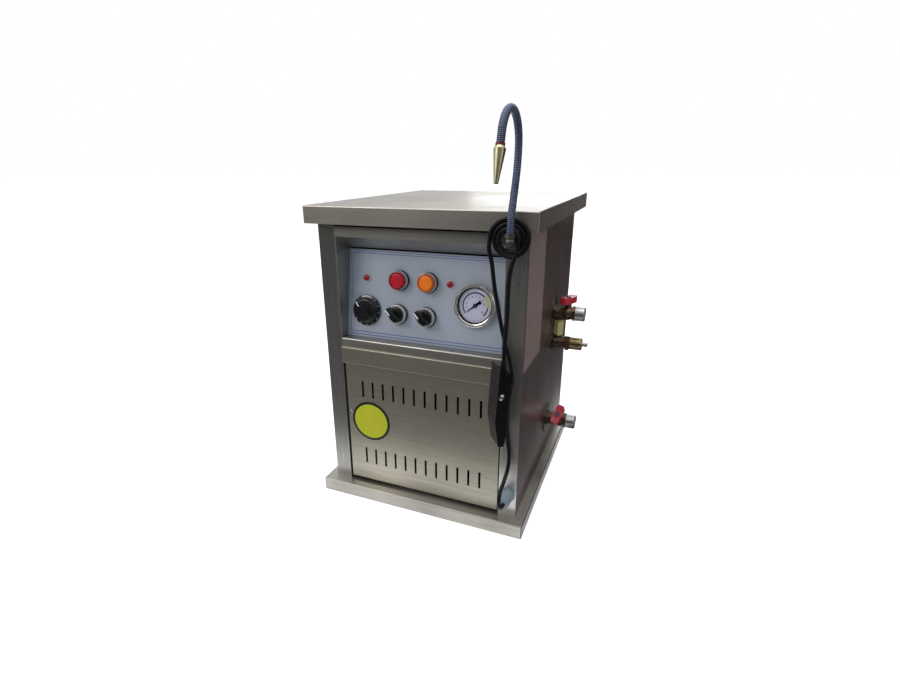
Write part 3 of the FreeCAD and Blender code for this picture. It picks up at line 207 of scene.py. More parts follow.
world = bpy.data.worlds.new("studio")
scene.world = world
world.use_nodes = True
sky = world.node_tree
room = sky.nodes["Background"]
room.inputs["Color"].default_value = (0.93, 0.96, 1, 1)
room.inputs["Strength"].default_value = 0.5
white = sky.nodes.new("ShaderNodeBackground")
white.inputs["Color"].default_value = (1, 1, 1, 1)
ray = sky.nodes.new("ShaderNodeLightPath")
choice = sky.nodes.new("ShaderNodeMixShader")
sky.links.new(seen_white(sky, ray), choice.inputs[0])
sky.links.new(room.outputs[0], choice.inputs[1])
sky.links.new(white.outputs[0], choice.inputs[2])
sky.links.new(choice.outputs[0], sky.nodes["World Output"].inputs["Surface"])

# Floor
# A plain pale sheet that goes white to the camera and keeps the shadow under the tray.
floor_reach = 30.0
floor_mesh = bpy.data.meshes.new("floor")
floor_mesh.from_pydata([(-floor_reach, -floor_reach, 0), (floor_reach, -floor_reach, 0),
                        (floor_reach, floor_reach, 0), (-floor_reach, floor_reach, 0)], [], [(0, 1, 2, 3)])
floor = bpy.data.objects.new("floor", floor_mesh)
scene.collection.objects.link(floor)
floor_paint = bpy.data.materials.new("floor_paint")
floor_paint.use_nodes = True
tree = floor_paint.node_tree
tree.nodes["Principled BSDF"].inputs["Base Color"].default_value = (0.82, 0.82, 0.82, 1)
tree.nodes["Principled BSDF"].inputs["Roughness"].default_value = 0.9
glow = tree.nodes.new("ShaderNodeEmission")
glow.inputs["Color"].default_value = (1, 1, 1, 1)
glow.inputs["Strength"].default_value = 0.7
ray = tree.nodes.new("ShaderNodeLightPath")
lift = tree.nodes.new("ShaderNodeMixShader")
total = tree.nodes.new("ShaderNodeAddShader")
tree.links.new(tree.nodes["Principled BSDF"].outputs[0], total.inputs[0])
tree.links.new(glow.outputs[0], total.inputs[1])
tree.links.new(seen_white(tree, ray), lift.inputs[0])
tree.links.new(tree.nodes["Principled BSDF"].outputs[0], lift.inputs[1])
tree.links.new(total.outputs[0], lift.inputs[2])
tree.links.new(lift.outputs[0], tree.nodes["Material Output"].inputs["Surface"])
floor_mesh.materials.append(floor_paint)

# Cards
# Matt boards that only mirrors see: a dark low wall in front and its floor, a pale wall to the rear left for the
# lid's top, and a dark wall and floor past the right side.
card_lift = 0.003
walls = {"front_card": (paint(48, 47, 46), (-4, -1.7), (4, -1.7), 1.25),
         "left_card": (paint(232, 229, 225), (-5.0, 0.4), (-0.95, 2.8), 1.6),
         "right_card": (paint(56, 46, 44), (0.3, 3.3), (3.6, 0.0), 1.9)}
floors = {"near_card": (paint(80, 78, 75), (-4, -1.7), (4, -0.34)),
          "side_card": (paint(46, 41, 40), (0.20, -0.22), (4.0, 4.0))}
cards = {name: (shade, [(*start, 0), (*end, 0), (*end, top), (*start, top)])
         for name, (shade, start, end, top) in walls.items()}
for name, (shade, low, high) in floors.items():
    cards[name] = (shade, [(low[0], low[1], card_lift), (high[0], low[1], card_lift),
                           (high[0], high[1], card_lift), (low[0], high[1], card_lift)])
for name, (shade, corners) in cards.items():
    card_mesh = bpy.data.meshes.new(name)
    card_mesh.from_pydata(corners, [], [(0, 1, 2, 3)])
    card = bpy.data.objects.new(name, card_mesh)
    scene.collection.objects.link(card)
    card.visible_camera = False
    card.visible_diffuse = False
    card.visible_transmission = False
    card.visible_shadow = False
    cloth = bpy.data.materials.new(name)
    cloth.use_nodes = True
    cloth.node_tree.nodes["Principled BSDF"].inputs["Base Color"].default_value = shade
    cloth.node_tree.nodes["Principled BSDF"].inputs["Roughness"].default_value = 1.0
    card_mesh.materials.append(cloth)

# Cabinet sheets
# Folded stainless sheet, brushed along its length: fine scratches, faint handling smears and a soft sheen.
def dress(finish_given, *names):
    """Give carried-over nodes one finish."""
    for name in names:
        mesh = nodes[name].data
        mesh.materials.clear()
        mesh.materials.append(finish_given)


def brush(material, strength, turn):
    """Stretch a steel's highlights across its brushing, which runs level at a quarter turn and upright at none."""
    tree = material.node_tree
    direction = tree.nodes.new("ShaderNodeTangent")
    direction.direction_type = "RADIAL"
    direction.axis = "Z"
    tree.links.new(direction.outputs[0], tree.nodes["Principled BSDF"].inputs["Tangent"])
    tree.nodes["Principled BSDF"].inputs["Anisotropic"].default_value = strength
    tree.nodes["Principled BSDF"].inputs["Anisotropic Rotation"].default_value = turn


def overprint(material, mask, shade):
    """Lay a shade over a finish's colour wherever the mask is one."""
    tree = material.node_tree
    colour = tree.nodes["Principled BSDF"].inputs["Base Color"]
    laid = tree.nodes.new("ShaderNodeMix")
    laid.data_type = "RGBA"
    laid.inputs[7].default_value = shade
    tree.links.new(mask, laid.inputs["Factor"])
    tree.links.new(colour.links[0].from_socket, laid.inputs[6])
    tree.links.new(laid.outputs[2], colour)


post_face = -0.1944
tray_side = 0.1850
along_x = (12, 500, 500)
along_z = (500, 500, 12)
brushing = 0.6
level = 0.25
upright = 0.0
cross_brushed = finish("cross_brushed_steel", paint(178, 175, 168), paint(142, 140, 134), along_x, 0.34,
                       relief=0.00002, Metallic=0.9)
upright_brushed = finish("upright_brushed_steel", paint(174, 173, 170), paint(136, 135, 133), along_z, 0.34,
                         relief=0.00002, Metallic=0.9)
# Darker, browner copy of the upright steel for the right side: painted shade and painted reflection of a dark room
# past that side.
painted_shade_side_steel = finish("side_steel_painted_shade", paint(162, 149, 145), paint(128, 117, 114), along_z, 0.32,
                      relief=0.00002, Metallic=0.9)
# Same steel as the cross-brushed sheet; its right face is overprinted near black below, as painted shade.
tray_steel_painted_shade = finish("tray_steel_right_face_painted_shade", paint(178, 175, 168), paint(142, 140, 134), along_x, 0.34,
                      relief=0.00002, Metallic=0.9)
lid_steel = finish("lid_steel", paint(184, 180, 172), paint(150, 147, 140), along_x, 0.34,
                   relief=0.00002, Metallic=0.9)
for steel, turn in ((cross_brushed, level), (tray_steel_painted_shade, level), (lid_steel, level), (upright_brushed, upright),
                    (painted_shade_side_steel, upright)):
    brush(steel, brushing, turn)
dress(lid_steel, "lid")
dress(cross_brushed, "panel_surround", "sill_rail")
dress(tray_steel_painted_shade, "base_tray")
dress(upright_brushed, "left_side_panel", "back_panel")
# Overprints: the right post's front face, Y below post_face, gets a paler steel, a painted lit face beside the
# shaded side; the tray's right face, X beyond tray_side, gets near black, painted shade.
for steel, way, comparison, edge, tint in ((painted_shade_side_steel, "Y", "LESS_THAN", post_face, paint(184, 184, 181)),
                                           (tray_steel_painted_shade, "X", "GREATER_THAN", tray_side, paint(60, 58, 56))):
    tree = steel.node_tree
    place = tree.nodes.new("ShaderNodeTexCoord")
    split = tree.nodes.new("ShaderNodeSeparateXYZ")
    beyond = tree.nodes.new("ShaderNodeMath")
    beyond.operation = comparison
    beyond.inputs[1].default_value = edge
    tree.links.new(place.outputs["Object"], split.inputs[0])
    tree.links.new(split.outputs[way], beyond.inputs[0])
    overprint(steel, beyond.outputs[0], tint)
dress(painted_shade_side_steel, "right_side_panel")

# Control panel
# Light blue-grey lacquered plate, leaning back between the jambs, with a fine double blue line round its edge.
panel_foot = (0.0, -0.1776, 0.2963)
panel_lean = math.radians(9.7)
panel_half_width = 0.1387
panel_height = 0.14525
line_insets = (0.0026, 0.0062)
line_half_width = 0.00042
foot_line_lift = 0.00073
foot_line_share = 0.75

panel_up = np.array([0.0, math.sin(panel_lean), math.cos(panel_lean)])
panel_out = np.array([0.0, -math.cos(panel_lean), math.sin(panel_lean)])
across = np.array([1.0, 0.0, 0.0])


def on_panel(x, climb, out=0.0):
    """Point of the panel's slope: foot + x across + climb up the slope + out along its normal."""
    return np.array(panel_foot) + x * across + climb * panel_up + out * panel_out


panel_lacquer = finish("panel_lacquer", paint(160, 168, 180), paint(150, 158, 171), (700, 700, 700), 0.36,
                       smear=14, relief=0.00001, Specular_IOR_Level=0.45)
tree = panel_lacquer.node_tree
place = tree.nodes.new("ShaderNodeTexCoord")
split = tree.nodes.new("ShaderNodeSeparateXYZ")
climb = tree.nodes.new("ShaderNodeVectorMath")
climb.operation = "DOT_PRODUCT"
climb.inputs[1].default_value = panel_up
tree.links.new(place.outputs["Object"], split.inputs[0])
tree.links.new(place.outputs["Object"], climb.inputs[0])


def step(tree, operation, first, second=0.0):
    """Math node on sockets or numbers."""
    node = tree.nodes.new("ShaderNodeMath")
    node.operation = operation
    for socket, value in zip(node.inputs, (first, second)):
        if isinstance(value, (int, float)):
            socket.default_value = value
        else:
            tree.links.new(value, socket)
    return node.outputs[0]


side_inset = step(tree, "SUBTRACT", panel_half_width, step(tree, "ABSOLUTE", split.outputs["X"]))
low_inset = step(tree, "SUBTRACT", climb.outputs["Value"], float(np.dot(panel_foot, panel_up)))
high_inset = step(tree, "SUBTRACT", panel_height, low_inset)
low_inset = step(tree, "MULTIPLY", step(tree, "SUBTRACT", low_inset, foot_line_lift), foot_line_share)
inset = step(tree, "MINIMUM", side_inset, step(tree, "MINIMUM", low_inset, high_inset))
lines = None
for line_inset in line_insets:
    offset = step(tree, "ABSOLUTE", step(tree, "SUBTRACT", inset, line_inset))
    line = step(tree, "LESS_THAN", offset, line_half_width)
    lines = line if lines is None else step(tree, "MAXIMUM", lines, line)
overprint(panel_lacquer, lines, paint(52, 78, 150))
dress(panel_lacquer, "control_panel")


def flat_quads(rows, columns, closed):
    """Corner numbers of a grid's four-sided faces, rows by columns, closed round the columns or left open."""
    low = np.arange(rows - 1)[:, None] * columns
    left = np.arange(columns if closed else columns - 1)[None, :]
    right = (left + 1) % columns
    return np.stack([low + left, low + right, low + columns + right, low + columns + left], axis=-1).reshape(-1, 4)


def settle(name, mesh, body, replaced, sharp):
    """Weld a mesh, turn its faces outward, smooth it up to the sharp angle and put it in the scene on its body."""
    work = bmesh.new()
    work.from_mesh(mesh)
    bmesh.ops.remove_doubles(work, verts=work.verts, dist=1e-7)
    bmesh.ops.recalc_face_normals(work, faces=work.faces)
    work.to_mesh(mesh)
    work.free()
    mesh.shade_smooth()
    mesh.set_sharp_from_angle(angle=math.radians(sharp))
    made = bpy.data.objects.new(name, mesh)
    scene.collection.objects.link(made)
    if body:
        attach(made, body)
    if replaced:
        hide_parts(*replaced)
    return made


def piece(name, skins, materials, body, replaced=(), sharp=35.0):
    """Closed piece from skins: each a grid of points, rows along and columns round, ends filled flat.

    A skin may come with the number of its material in a pair.
    """
    points, faces, paints = [], [], []
    count = 0
    for skin in skins:
        grid, number = skin if isinstance(skin, tuple) else (skin, 0)
        rows, columns = grid.shape[:2]
        quads = flat_quads(rows, columns, True) + count
        ends = [list(range(count + columns - 1, count - 1, -1)),
                list(range(count + (rows - 1) * columns, count + rows * columns))]
        points.append(grid.reshape(-1, 3))
        faces += quads.tolist() + ends
        paints += [number] * (len(quads) + 2)
        count += rows * columns
    mesh = bpy.data.meshes.new(name)
    mesh.from_pydata(np.concatenate(points).tolist(), [], faces)
    mesh.polygons.foreach_set("material_index", paints)
    for material in materials:
        mesh.materials.append(material)
    return settle(name, mesh, body, replaced, sharp)


def turned(foot, axis, profile, sides=48):
    """Lathe skin: each (distance, radius) of the profile swung round the axis through the foot."""
    axis = np.array(axis, dtype=float)
    aside = np.cross(axis, across if abs(axis[0]) < 0.9 else [0.0, 1.0, 0.0])
    aside /= np.linalg.norm(aside)
    other = np.cross(axis, aside)
    distance, radius = np.array(profile, dtype=float).T
    turn = np.linspace(0, 2 * math.pi, sides, endpoint=False)
    ring = np.cos(turn)[:, None] * aside + np.sin(turn)[:, None] * other
    return np.array(foot) + distance[:, None, None] * axis + radius[:, None, None] * ring[None]


def rounded(corners, share=0.25, steps=4):
    """Profile with its inner corners rounded: each corner becomes a short quadratic bend."""
    corners = [np.array(corner, dtype=float) for corner in corners]
    points = [corners[0]]
    for before, corner, after in zip(corners, corners[1:], corners[2:]):
        reach = share * min(np.linalg.norm(corner - before), np.linalg.norm(after - corner))
        start = corner + (before - corner) / np.linalg.norm(before - corner) * reach
        end = corner + (after - corner) / np.linalg.norm(after - corner) * reach
        for t in np.linspace(0, 1, steps + 1):
            points.append((1 - t) ** 2 * start + 2 * t * (1 - t) * corner + t ** 2 * end)
    return points + [corners[-1]]


# Sill strip, vented cover and their screws
# Warmer stainless sheet than the frame, brushed across, slotted in two rows and held by a screw each side.
warm_brushed = finish("warm_brushed_steel", paint(178, 173, 160), paint(146, 142, 130), along_x, 0.38,
                      relief=0.00002, Metallic=0.85)
dress(warm_brushed, "cover_strip", "vent_cover")
screw_steel = finish("screw_steel", paint(190, 190, 188), paint(150, 150, 148), (900, 900, 900), 0.28, Metallic=1.0)
dress(screw_steel, "cover_screws")

# Round plate
# Bright yellow plate glued on the cover, with a printed black ring at its edge and nothing else on it.
plate_centre = (-0.092, -0.1955, 0.1477)
plate_ring = (0.0320, 0.0370)
plate_yellow = finish("plate_yellow", paint(186, 190, 26), paint(172, 176, 20), (600, 600, 600), 0.4, smear=30,
                      Specular_IOR_Level=0.4)
tree = plate_yellow.node_tree
place = tree.nodes.new("ShaderNodeTexCoord")
reach = tree.nodes.new("ShaderNodeVectorMath")
reach.operation = "DISTANCE"
reach.inputs[1].default_value = plate_centre
tree.links.new(place.outputs["Object"], reach.inputs[0])
ring = step(tree, "MULTIPLY", step(tree, "GREATER_THAN", reach.outputs["Value"], plate_ring[0]),
            step(tree, "LESS_THAN", reach.outputs["Value"], plate_ring[1]))
overprint(plate_yellow, ring, paint(24, 24, 22))
dress(plate_yellow, "round_plate")

# Side plate
# Thin foil plate glued to the right side, left without print.
foil = finish("side_foil", paint(196, 174, 172), paint(180, 158, 156), (500, 500, 500), 0.42, drift=0.03, smear=20,
              Metallic=0.7)
dress(foil, "side_plate")

# Push buttons
# Lit caps of clear-coloured plastic in a silvered barrel, on a black flange that a nut behind the panel pulls down.
red_button_x = -0.044
amber_button_x = 0.006
button_climb = 0.09915
flange_radius = 0.0166
flange_height = 0.0035
barrel_radius = 0.0156
barrel_height = 0.0100
barrel_wall = 0.0011
well_floor = 0.0008
cap_radius = 0.0142
cap_floor = 0.0050
cap_height = 0.0140
cap_dish = 0.0009
cap_face_share = 0.80
thread_radius = 0.0110
thread_length = 0.0340
panel_back = 0.0016
barrel_seat = flange_height * 0.98
face_lift = 0.001
face_gap = 0.0002

moulded_black = finish("moulded_black", paint(28, 28, 31), paint(20, 20, 23), (1200, 1200, 1200), 0.36, smear=70,
                       relief=0.00003, Specular_IOR_Level=0.35)
silvered = finish("silvered_ring", paint(228, 228, 226), paint(204, 204, 203), (900, 900, 900), 0.22, Metallic=0.6)


def flange_skin(x, climb):
    """Flange on the panel with a well for what moves in it."""
    return turned(on_panel(x, climb), panel_out,
                  rounded([(0, 0), (0, flange_radius), (flange_height, flange_radius),
                           (flange_height, barrel_radius - barrel_wall), (well_floor, barrel_radius - barrel_wall),
                           (well_floor, 0)], 0.2), 64)


def barrel_skin(x, climb):
    """Open barrel that stands on the flange."""
    inner = barrel_radius - barrel_wall
    corners = [(barrel_seat, inner), (barrel_seat, barrel_radius), (barrel_height, barrel_radius),
               (barrel_height, inner), (barrel_seat, inner)]
    return turned(on_panel(x, climb), panel_out, rounded(corners, 0.12), 64)


def thread_skin(x, climb):
    """Threaded barrel behind the panel."""
    return turned(on_panel(x, climb), -panel_out,
                  [(panel_back, 0), (panel_back, thread_radius), (thread_length, thread_radius), (thread_length, 0)])


def ring_piece(name, grid, material, body, replaced=(), sharp=35.0):
    """Ring from a lathe skin whose profile comes back to its start, so it has no ends to fill."""
    rows, columns = grid.shape[:2]
    mesh = bpy.data.meshes.new(name)
    mesh.from_pydata(grid.reshape(-1, 3).tolist(), [], flat_quads(rows, columns, True).tolist())
    mesh.materials.append(material)
    return settle(name, mesh, body, replaced, sharp)


piece("button_flanges", [skin(x, button_climb) for skin in (flange_skin, thread_skin)
                         for x in (red_button_x, amber_button_x)],
      [moulded_black], "cabinet", ["button_bezels"])
ring_piece("red_barrel", barrel_skin(red_button_x, button_climb), silvered, "cabinet")
ring_piece("amber_barrel", barrel_skin(amber_button_x, button_climb), silvered, "cabinet")

# Each cap: its body, x, slot, node, two lens colours, a darker rim colour that is painted shade, and its glow.
caps = {"red_cap": ("red_push", red_button_x, "red_lens", "red_button", paint(186, 20, 42), paint(150, 10, 30),
                    paint(112, 8, 28), 0.10),
        "amber_cap": ("amber_push", amber_button_x, "amber_lens", "amber_button", paint(216, 116, 20),
                      paint(196, 92, 12), paint(150, 56, 12), 0.20)}
for name, (body, x, slot, node, colour, second, edge, glow) in caps.items():
    lens = finish(name, colour, second, (500, 500, 500), 0.22, smear=160, relief=0.0002, Specular_IOR_Level=0.6,
                  Coat_Weight=0.4, Emission_Strength=glow, Emission_Color=colour)
    # The rim takes a darker copy of the lens colour and no glow: painted shade round the face.
    shaded_rim = finish(name + "_rim", edge, second, (500, 500, 500), 0.25, smear=160, Specular_IOR_Level=0.5,
                 Coat_Weight=0.3)
    inside = cap_radius * cap_face_share
    outer = rounded([(cap_floor, 0), (cap_floor, cap_radius), (cap_height, cap_radius), (cap_height, inside),
                     (cap_height - cap_dish, inside), (cap_height - cap_dish, 0)], 0.3)
    face = rounded([(cap_floor + face_lift, 0), (cap_floor + face_lift, inside - face_gap),
                    (cap_height - cap_dish * 0.4, inside - face_gap), (cap_height - cap_dish * 0.1, 0)], 0.12)
    piece(name, [(turned(on_panel(x, button_climb), panel_out, outer, 64), 1),
                 turned(on_panel(x, button_climb), panel_out, face, 64)], [lens, shaded_rim], body, [node])

# Pilot lamps
# Small ruby lenses on pale washers, pushed through the panel from the front.
pilot_xs = (-0.1045, 0.0430)
pilot_climb = 0.09935
pilot_washer_radius = 0.0072
pilot_washer_height = 0.0014
pilot_lens_radius = 0.0050
pilot_lens_height = 0.0065
pilot_lens_foot = 0.0008
pilot_body_radius = 0.0040
pilot_body_length = 0.0200

washer_pink = finish("washer_pink", paint(206, 176, 180), paint(186, 158, 164), (800, 800, 800), 0.3, smear=90)
ruby = finish("ruby_lens", paint(150, 18, 30), paint(96, 8, 16), (1100, 1100, 1100), 0.18, smear=260,
              relief=0.0003, Coat_Weight=0.5, Emission_Strength=0.06, Emission_Color=paint(170, 20, 32))
washer_skins = [turned(on_panel(x, pilot_climb), panel_out,
                       rounded([(0, 0), (0, pilot_washer_radius), (pilot_washer_height, pilot_washer_radius * 0.9),
                                (pilot_washer_height, 0)], 0.3), 40) for x in pilot_xs]
body_skins = [turned(on_panel(x, pilot_climb), -panel_out,
                     [(panel_back, 0), (panel_back, pilot_body_radius), (pilot_body_length, pilot_body_radius),
                      (pilot_body_length, 0)], 24) for x in pilot_xs]
piece("pilot_washers", washer_skins + body_skins, [washer_pink], "cabinet", ["pilot_lamps"])
piece("pilot_lenses", [turned(on_panel(x, pilot_climb), panel_out,
                              rounded([(pilot_lens_foot, 0), (pilot_lens_foot, pilot_lens_radius),
                                       (pilot_lens_height * 0.75, pilot_lens_radius),
                                       (pilot_lens_height, pilot_lens_radius * 0.62), (pilot_lens_height, 0)], 0.45),
                              40) for x in pilot_xs], [ruby], "cabinet")

# Selector switches
# Black levers with a beak and a white pointer line, turning in the same barrels and flanges as the buttons have.
selectors = {"left_lever": (-0.044, "left_switch", "left_selector"),
             "right_lever": (0.006, "right_switch", "right_selector")}
selector_climb = 0.04425
selector_rest = math.radians(135)
lever_low = 0.0012
lever_skirt_radius = 0.0140
lever_body_radius = 0.0119
lever_body_top = 0.0152
lever_top = 0.0278
bar_reach = 0.0145
bar_tail = 0.0130
bar_half_width = 0.0046
ring_lip_radius = 0.0127
ring_lip_depth = 0.0010
skirt_drop = 0.0013
crown_rise = 0.0015
pointer_width = 0.0018
pointer_span = (0.0020, 0.0132)
pointer_offset = 0.0020


def outlined(x, climb, outline, levels, spin):
    """Skin on the panel: at each (height, share) level the outline r(a), shrunk to that share and turned by spin."""
    turn = np.linspace(0, 2 * math.pi, outline.shape[0], endpoint=False) + spin
    flat = outline[:, None] * (np.cos(turn)[:, None] * across + np.sin(turn)[:, None] * panel_up)
    return np.stack([on_panel(x, climb, height) + share * flat for height, share in levels])


def bar_outline(reach, tail, half_width, power, sides=72):
    """Rounded bar r(a) = (|cos a / L|^p + |sin a / w|^p)^(-1/p), L the reach ahead and the tail behind."""
    turn = np.linspace(0, 2 * math.pi, sides, endpoint=False)
    length = np.where(np.cos(turn) > 0, reach, tail)
    return (np.abs(np.cos(turn) / length) ** power + np.abs(np.sin(turn) / half_width) ** power) ** (-1 / power)


def panel_tile(x, climb, angle, near, far, width, low, high, offset=0.0):
    """Low block on the panel, from near to far along a ray at an angle from a point, moved aside by the offset."""
    aim = math.cos(angle) * across + math.sin(angle) * panel_up
    aside = np.cross(panel_out, aim)
    return np.array([[on_panel(x, climb, level) + aim * reach + aside * (offset + side * width / 2)
                      for reach, side in ((near, -1), (far, -1), (far, 1), (near, 1))] for level in (low, high)])


piece("selector_flanges", [skin(x, selector_climb) for skin in (flange_skin, thread_skin)
                           for x, _, _ in selectors.values()],
      [moulded_black], "cabinet", ["selector_rings"])
pointer_white = finish("pointer_white", paint(238, 238, 236), paint(222, 222, 220), (900, 900, 900), 0.45, smear=120)
lever_black = finish("lever_black", paint(15, 15, 17), paint(10, 10, 12), (1100, 1100, 1100), 0.34, smear=60,
                     relief=0.00002, Specular_IOR_Level=0.3)
inner_wall = barrel_radius - barrel_wall
selector_ring = [(barrel_seat, inner_wall), (barrel_seat, barrel_radius), (barrel_height, barrel_radius),
                 (barrel_height, ring_lip_radius), (barrel_height - ring_lip_depth, ring_lip_radius),
                 (barrel_height - ring_lip_depth, inner_wall), (barrel_seat, inner_wall)]
for name, (x, body, node) in selectors.items():
    ring_piece(name + "_ring", turned(on_panel(x, selector_climb), panel_out, rounded(selector_ring, 0.16), 64),
               silvered, "cabinet")
    skirt = turned(on_panel(x, selector_climb), panel_out,
                   [(lever_low, 0), (lever_low, lever_skirt_radius),
                    (barrel_height - skirt_drop, lever_skirt_radius), (barrel_height - skirt_drop, 0)])
    crown = turned(on_panel(x, selector_climb), panel_out,
                   rounded([(lever_low, 0), (lever_low, lever_body_radius),
                            (barrel_height + crown_rise, lever_body_radius),
                            (lever_body_top, lever_body_radius * 0.93), (lever_body_top, 0)], 0.35))
    bar = outlined(x, selector_climb, bar_outline(bar_reach, bar_tail, bar_half_width, 4.5),
                   [(barrel_height + 0.0006, 1), (lever_top - 0.0030, 0.985), (lever_top - 0.0012, 0.96),
                    (lever_top - 0.0003, 0.91), (lever_top, 0.83)], selector_rest)
    stripe = panel_tile(x, selector_climb, selector_rest, *pointer_span, pointer_width, lever_top - 0.0012,
                        lever_top + 0.00012, pointer_offset)
    piece(name, [skirt, crown, bar, (stripe, 1)], [lever_black, pointer_white], body, [node])

# Main knob
# Glossy black knob of the thermostat: a skirt with white marks, a round body and a grip bar across it.
knob_x = -0.102
knob_climb = 0.04575
knob_rest = math.radians(130)
skirt_radius = 0.0255
skirt_levels = (0.0010, 0.0050)
body_radius = 0.0200
knob_top = 0.0200
grip_length = 0.0400
grip_width = 0.0130
mark_count = 11
mark_step = math.radians(27)
mark_length = 0.0026
mark_width = 0.0009
mark_inset = 0.0012
mark_levels = (0.0038, 0.0046)
body_shoulder = 0.0128
body_crown = 0.0135
grip_foot = 0.0052
pointer_reach = (0.0090, 0.0172)
knob_pointer_width = 0.0015

glossy_black = finish("glossy_black", paint(26, 26, 30), paint(18, 18, 22), (700, 700, 700), 0.2, smear=60,
                      drift=0.05, Specular_IOR_Level=0.7)
body_skin = turned(on_panel(knob_x, knob_climb), panel_out,
                   rounded([(skirt_levels[0], 0), (skirt_levels[0], skirt_radius),
                            (skirt_levels[1] - 0.001, skirt_radius), (skirt_levels[1], body_radius + 0.0012),
                            (body_shoulder, body_radius * 0.93), (body_crown, 0)], 0.2), 72)
grip_skin = outlined(knob_x, knob_climb, bar_outline(grip_length / 2, grip_length / 2, grip_width / 2, 3.4),
                     [(grip_foot, 1.0), (knob_top - 0.0022, 0.96), (knob_top - 0.0008, 0.92),
                      (knob_top - 0.0002, 0.87), (knob_top, 0.78)], knob_rest)
mark_end = skirt_radius - mark_inset
marks = [(panel_tile(knob_x, knob_climb, knob_rest - mark_step * index, mark_end - mark_length, mark_end, mark_width,
                     *mark_levels), 1) for index in range(mark_count)]
pointer = (panel_tile(knob_x, knob_climb, knob_rest, *pointer_reach, knob_pointer_width, knob_top - 0.001,
                      knob_top + 0.0001), 1)
piece("thermostat_knob", [body_skin, grip_skin, pointer] + marks, [glossy_black, pointer_white], "temperature_knob",
      ["main_knob"])

# Pressure gauge
# Chromed bezel, its inner wall near black as a thin gasket line and painted shade of the recess, a pale lavender
# dial with a coloured scale, black needle, clear glass.
gauge_x = 0.0865
gauge_climb = 0.07075
dial_face = 0.0034
needle_zero = 218.0
needle_sweep = 256.0
scale_radii = (0.0187, 0.0209)
zone_radii = (0.0172, 0.0236)
tick_radii = (0.0172, 0.0186)
tick_share = 0.12
number_radius = 0.0143
number_size = 0.0044
number_weight = 0.00012
number_height = 0.00004
gasket_and_shade_radius = 0.0276
gasket_and_shade_lift = 0.0001
green_span = (-1.0, 177.0)
yellow_span = (172.0, 224.0)
red_span = (224.0, 264.0)
bezel_profile = [(0, 0.0310), (0, 0.0338), (0.0004, 0.0340), (0.0060, 0.0340), (0.0084, 0.0337), (0.0098, 0.0329),
                 (0.0105, 0.0316), (0.0103, 0.0305), (0.0096, 0.0299), (0.0095, 0.0295), (0.0099, 0.0290),
                 (0.0096, 0.0283), (0.0087, 0.0279), (0.0076, 0.0276), (0.0074, 0.0275), (0.0074, 0.0263),
                 (dial_face, 0.0263), (dial_face, 0.0310), (0, 0.0310)]

chrome = finish("chromed_bezel", paint(246, 245, 242), paint(228, 226, 222), (300, 300, 300), 0.15, smear=40,
                drift=0.04, Metallic=0.9)
# Near black for the bezel's inner wall: a thin gasket line and painted shade of the recess.
gasket_and_shade = finish("gauge_gasket_and_shade", paint(20, 22, 26), paint(12, 14, 18), (600, 600, 600), 0.5, Specular_IOR_Level=0.2)
dress(chrome, "gauge_case")
bezel_ring = ring_piece("bezel_ring", turned(on_panel(gauge_x, gauge_climb), panel_out, bezel_profile, 128), chrome,
                        "cabinet", ["gauge_bezel"])
bezel_ring.data.materials.append(gasket_and_shade)
# Faces inside the gasket radius and above the dial take the near black: painted shade on the inner wall, with the
# gasket line.
centres = np.array([face.center for face in bezel_ring.data.polygons]) - on_panel(gauge_x, gauge_climb)
heights = centres @ panel_out
radii = np.linalg.norm(centres - heights[:, None] * panel_out, axis=1)
on_gasket_and_shade = (radii < gasket_and_shade_radius) & (heights > dial_face + gasket_and_shade_lift)
bezel_ring.data.polygons.foreach_set("material_index", on_gasket_and_shade.astype(np.int32))
dial_white = finish("dial_white", paint(214, 213, 236), paint(205, 206, 230), (600, 600, 600), 0.5,
                    Specular_IOR_Level=0.2)
tree = dial_white.node_tree
place = tree.nodes.new("ShaderNodeTexCoord")
shift = tree.nodes.new("ShaderNodeVectorMath")
shift.operation = "SUBTRACT"
shift.inputs[1].default_value = on_panel(gauge_x, gauge_climb, dial_face)
tree.links.new(place.outputs["Object"], shift.inputs[0])
ways = []
for way in (across, panel_up):
    along = tree.nodes.new("ShaderNodeVectorMath")
    along.operation = "DOT_PRODUCT"
    along.inputs[1].default_value = way
    tree.links.new(shift.outputs[0], along.inputs[0])
    ways.append(along.outputs["Value"])
far = tree.nodes.new("ShaderNodeVectorMath")
far.operation = "LENGTH"
tree.links.new(shift.outputs[0], far.inputs[0])
heading = step(tree, "DEGREES", step(tree, "ARCTAN2", ways[1], ways[0]))
swept_angle = step(tree, "WRAP", step(tree, "SUBTRACT", needle_zero, heading), 360.0)


def between(tree, value, low, high):
    """One where the value is over the low limit and under the high one."""
    return step(tree, "MULTIPLY", step(tree, "GREATER_THAN", value, low), step(tree, "LESS_THAN", value, high))


scale = between(tree, far.outputs["Value"], *scale_radii)
zone = between(tree, far.outputs["Value"], *zone_radii)
beat = step(tree, "FRACT", step(tree, "ADD", step(tree, "DIVIDE", swept_angle, needle_sweep / 50), tick_share / 2))
ticks = step(tree, "MULTIPLY", between(tree, far.outputs["Value"], *tick_radii),
             step(tree, "LESS_THAN", beat, tick_share))
ticks = step(tree, "MULTIPLY", ticks, step(tree, "LESS_THAN", swept_angle, needle_sweep + 1))
# The yellow zone is the scale's print, drawn as a broad pale band: partly print, partly a painted reflection in the
# glass.
for band, span, shade in ((scale, green_span, paint(26, 74, 84)), (zone, yellow_span, paint(198, 196, 140)),
                          (scale, red_span, paint(118, 20, 40))):
    overprint(dial_white, step(tree, "MULTIPLY", band, between(tree, swept_angle, *span)), shade)
overprint(dial_white, ticks, paint(96, 96, 116))
dress(dial_white, "gauge_dial")

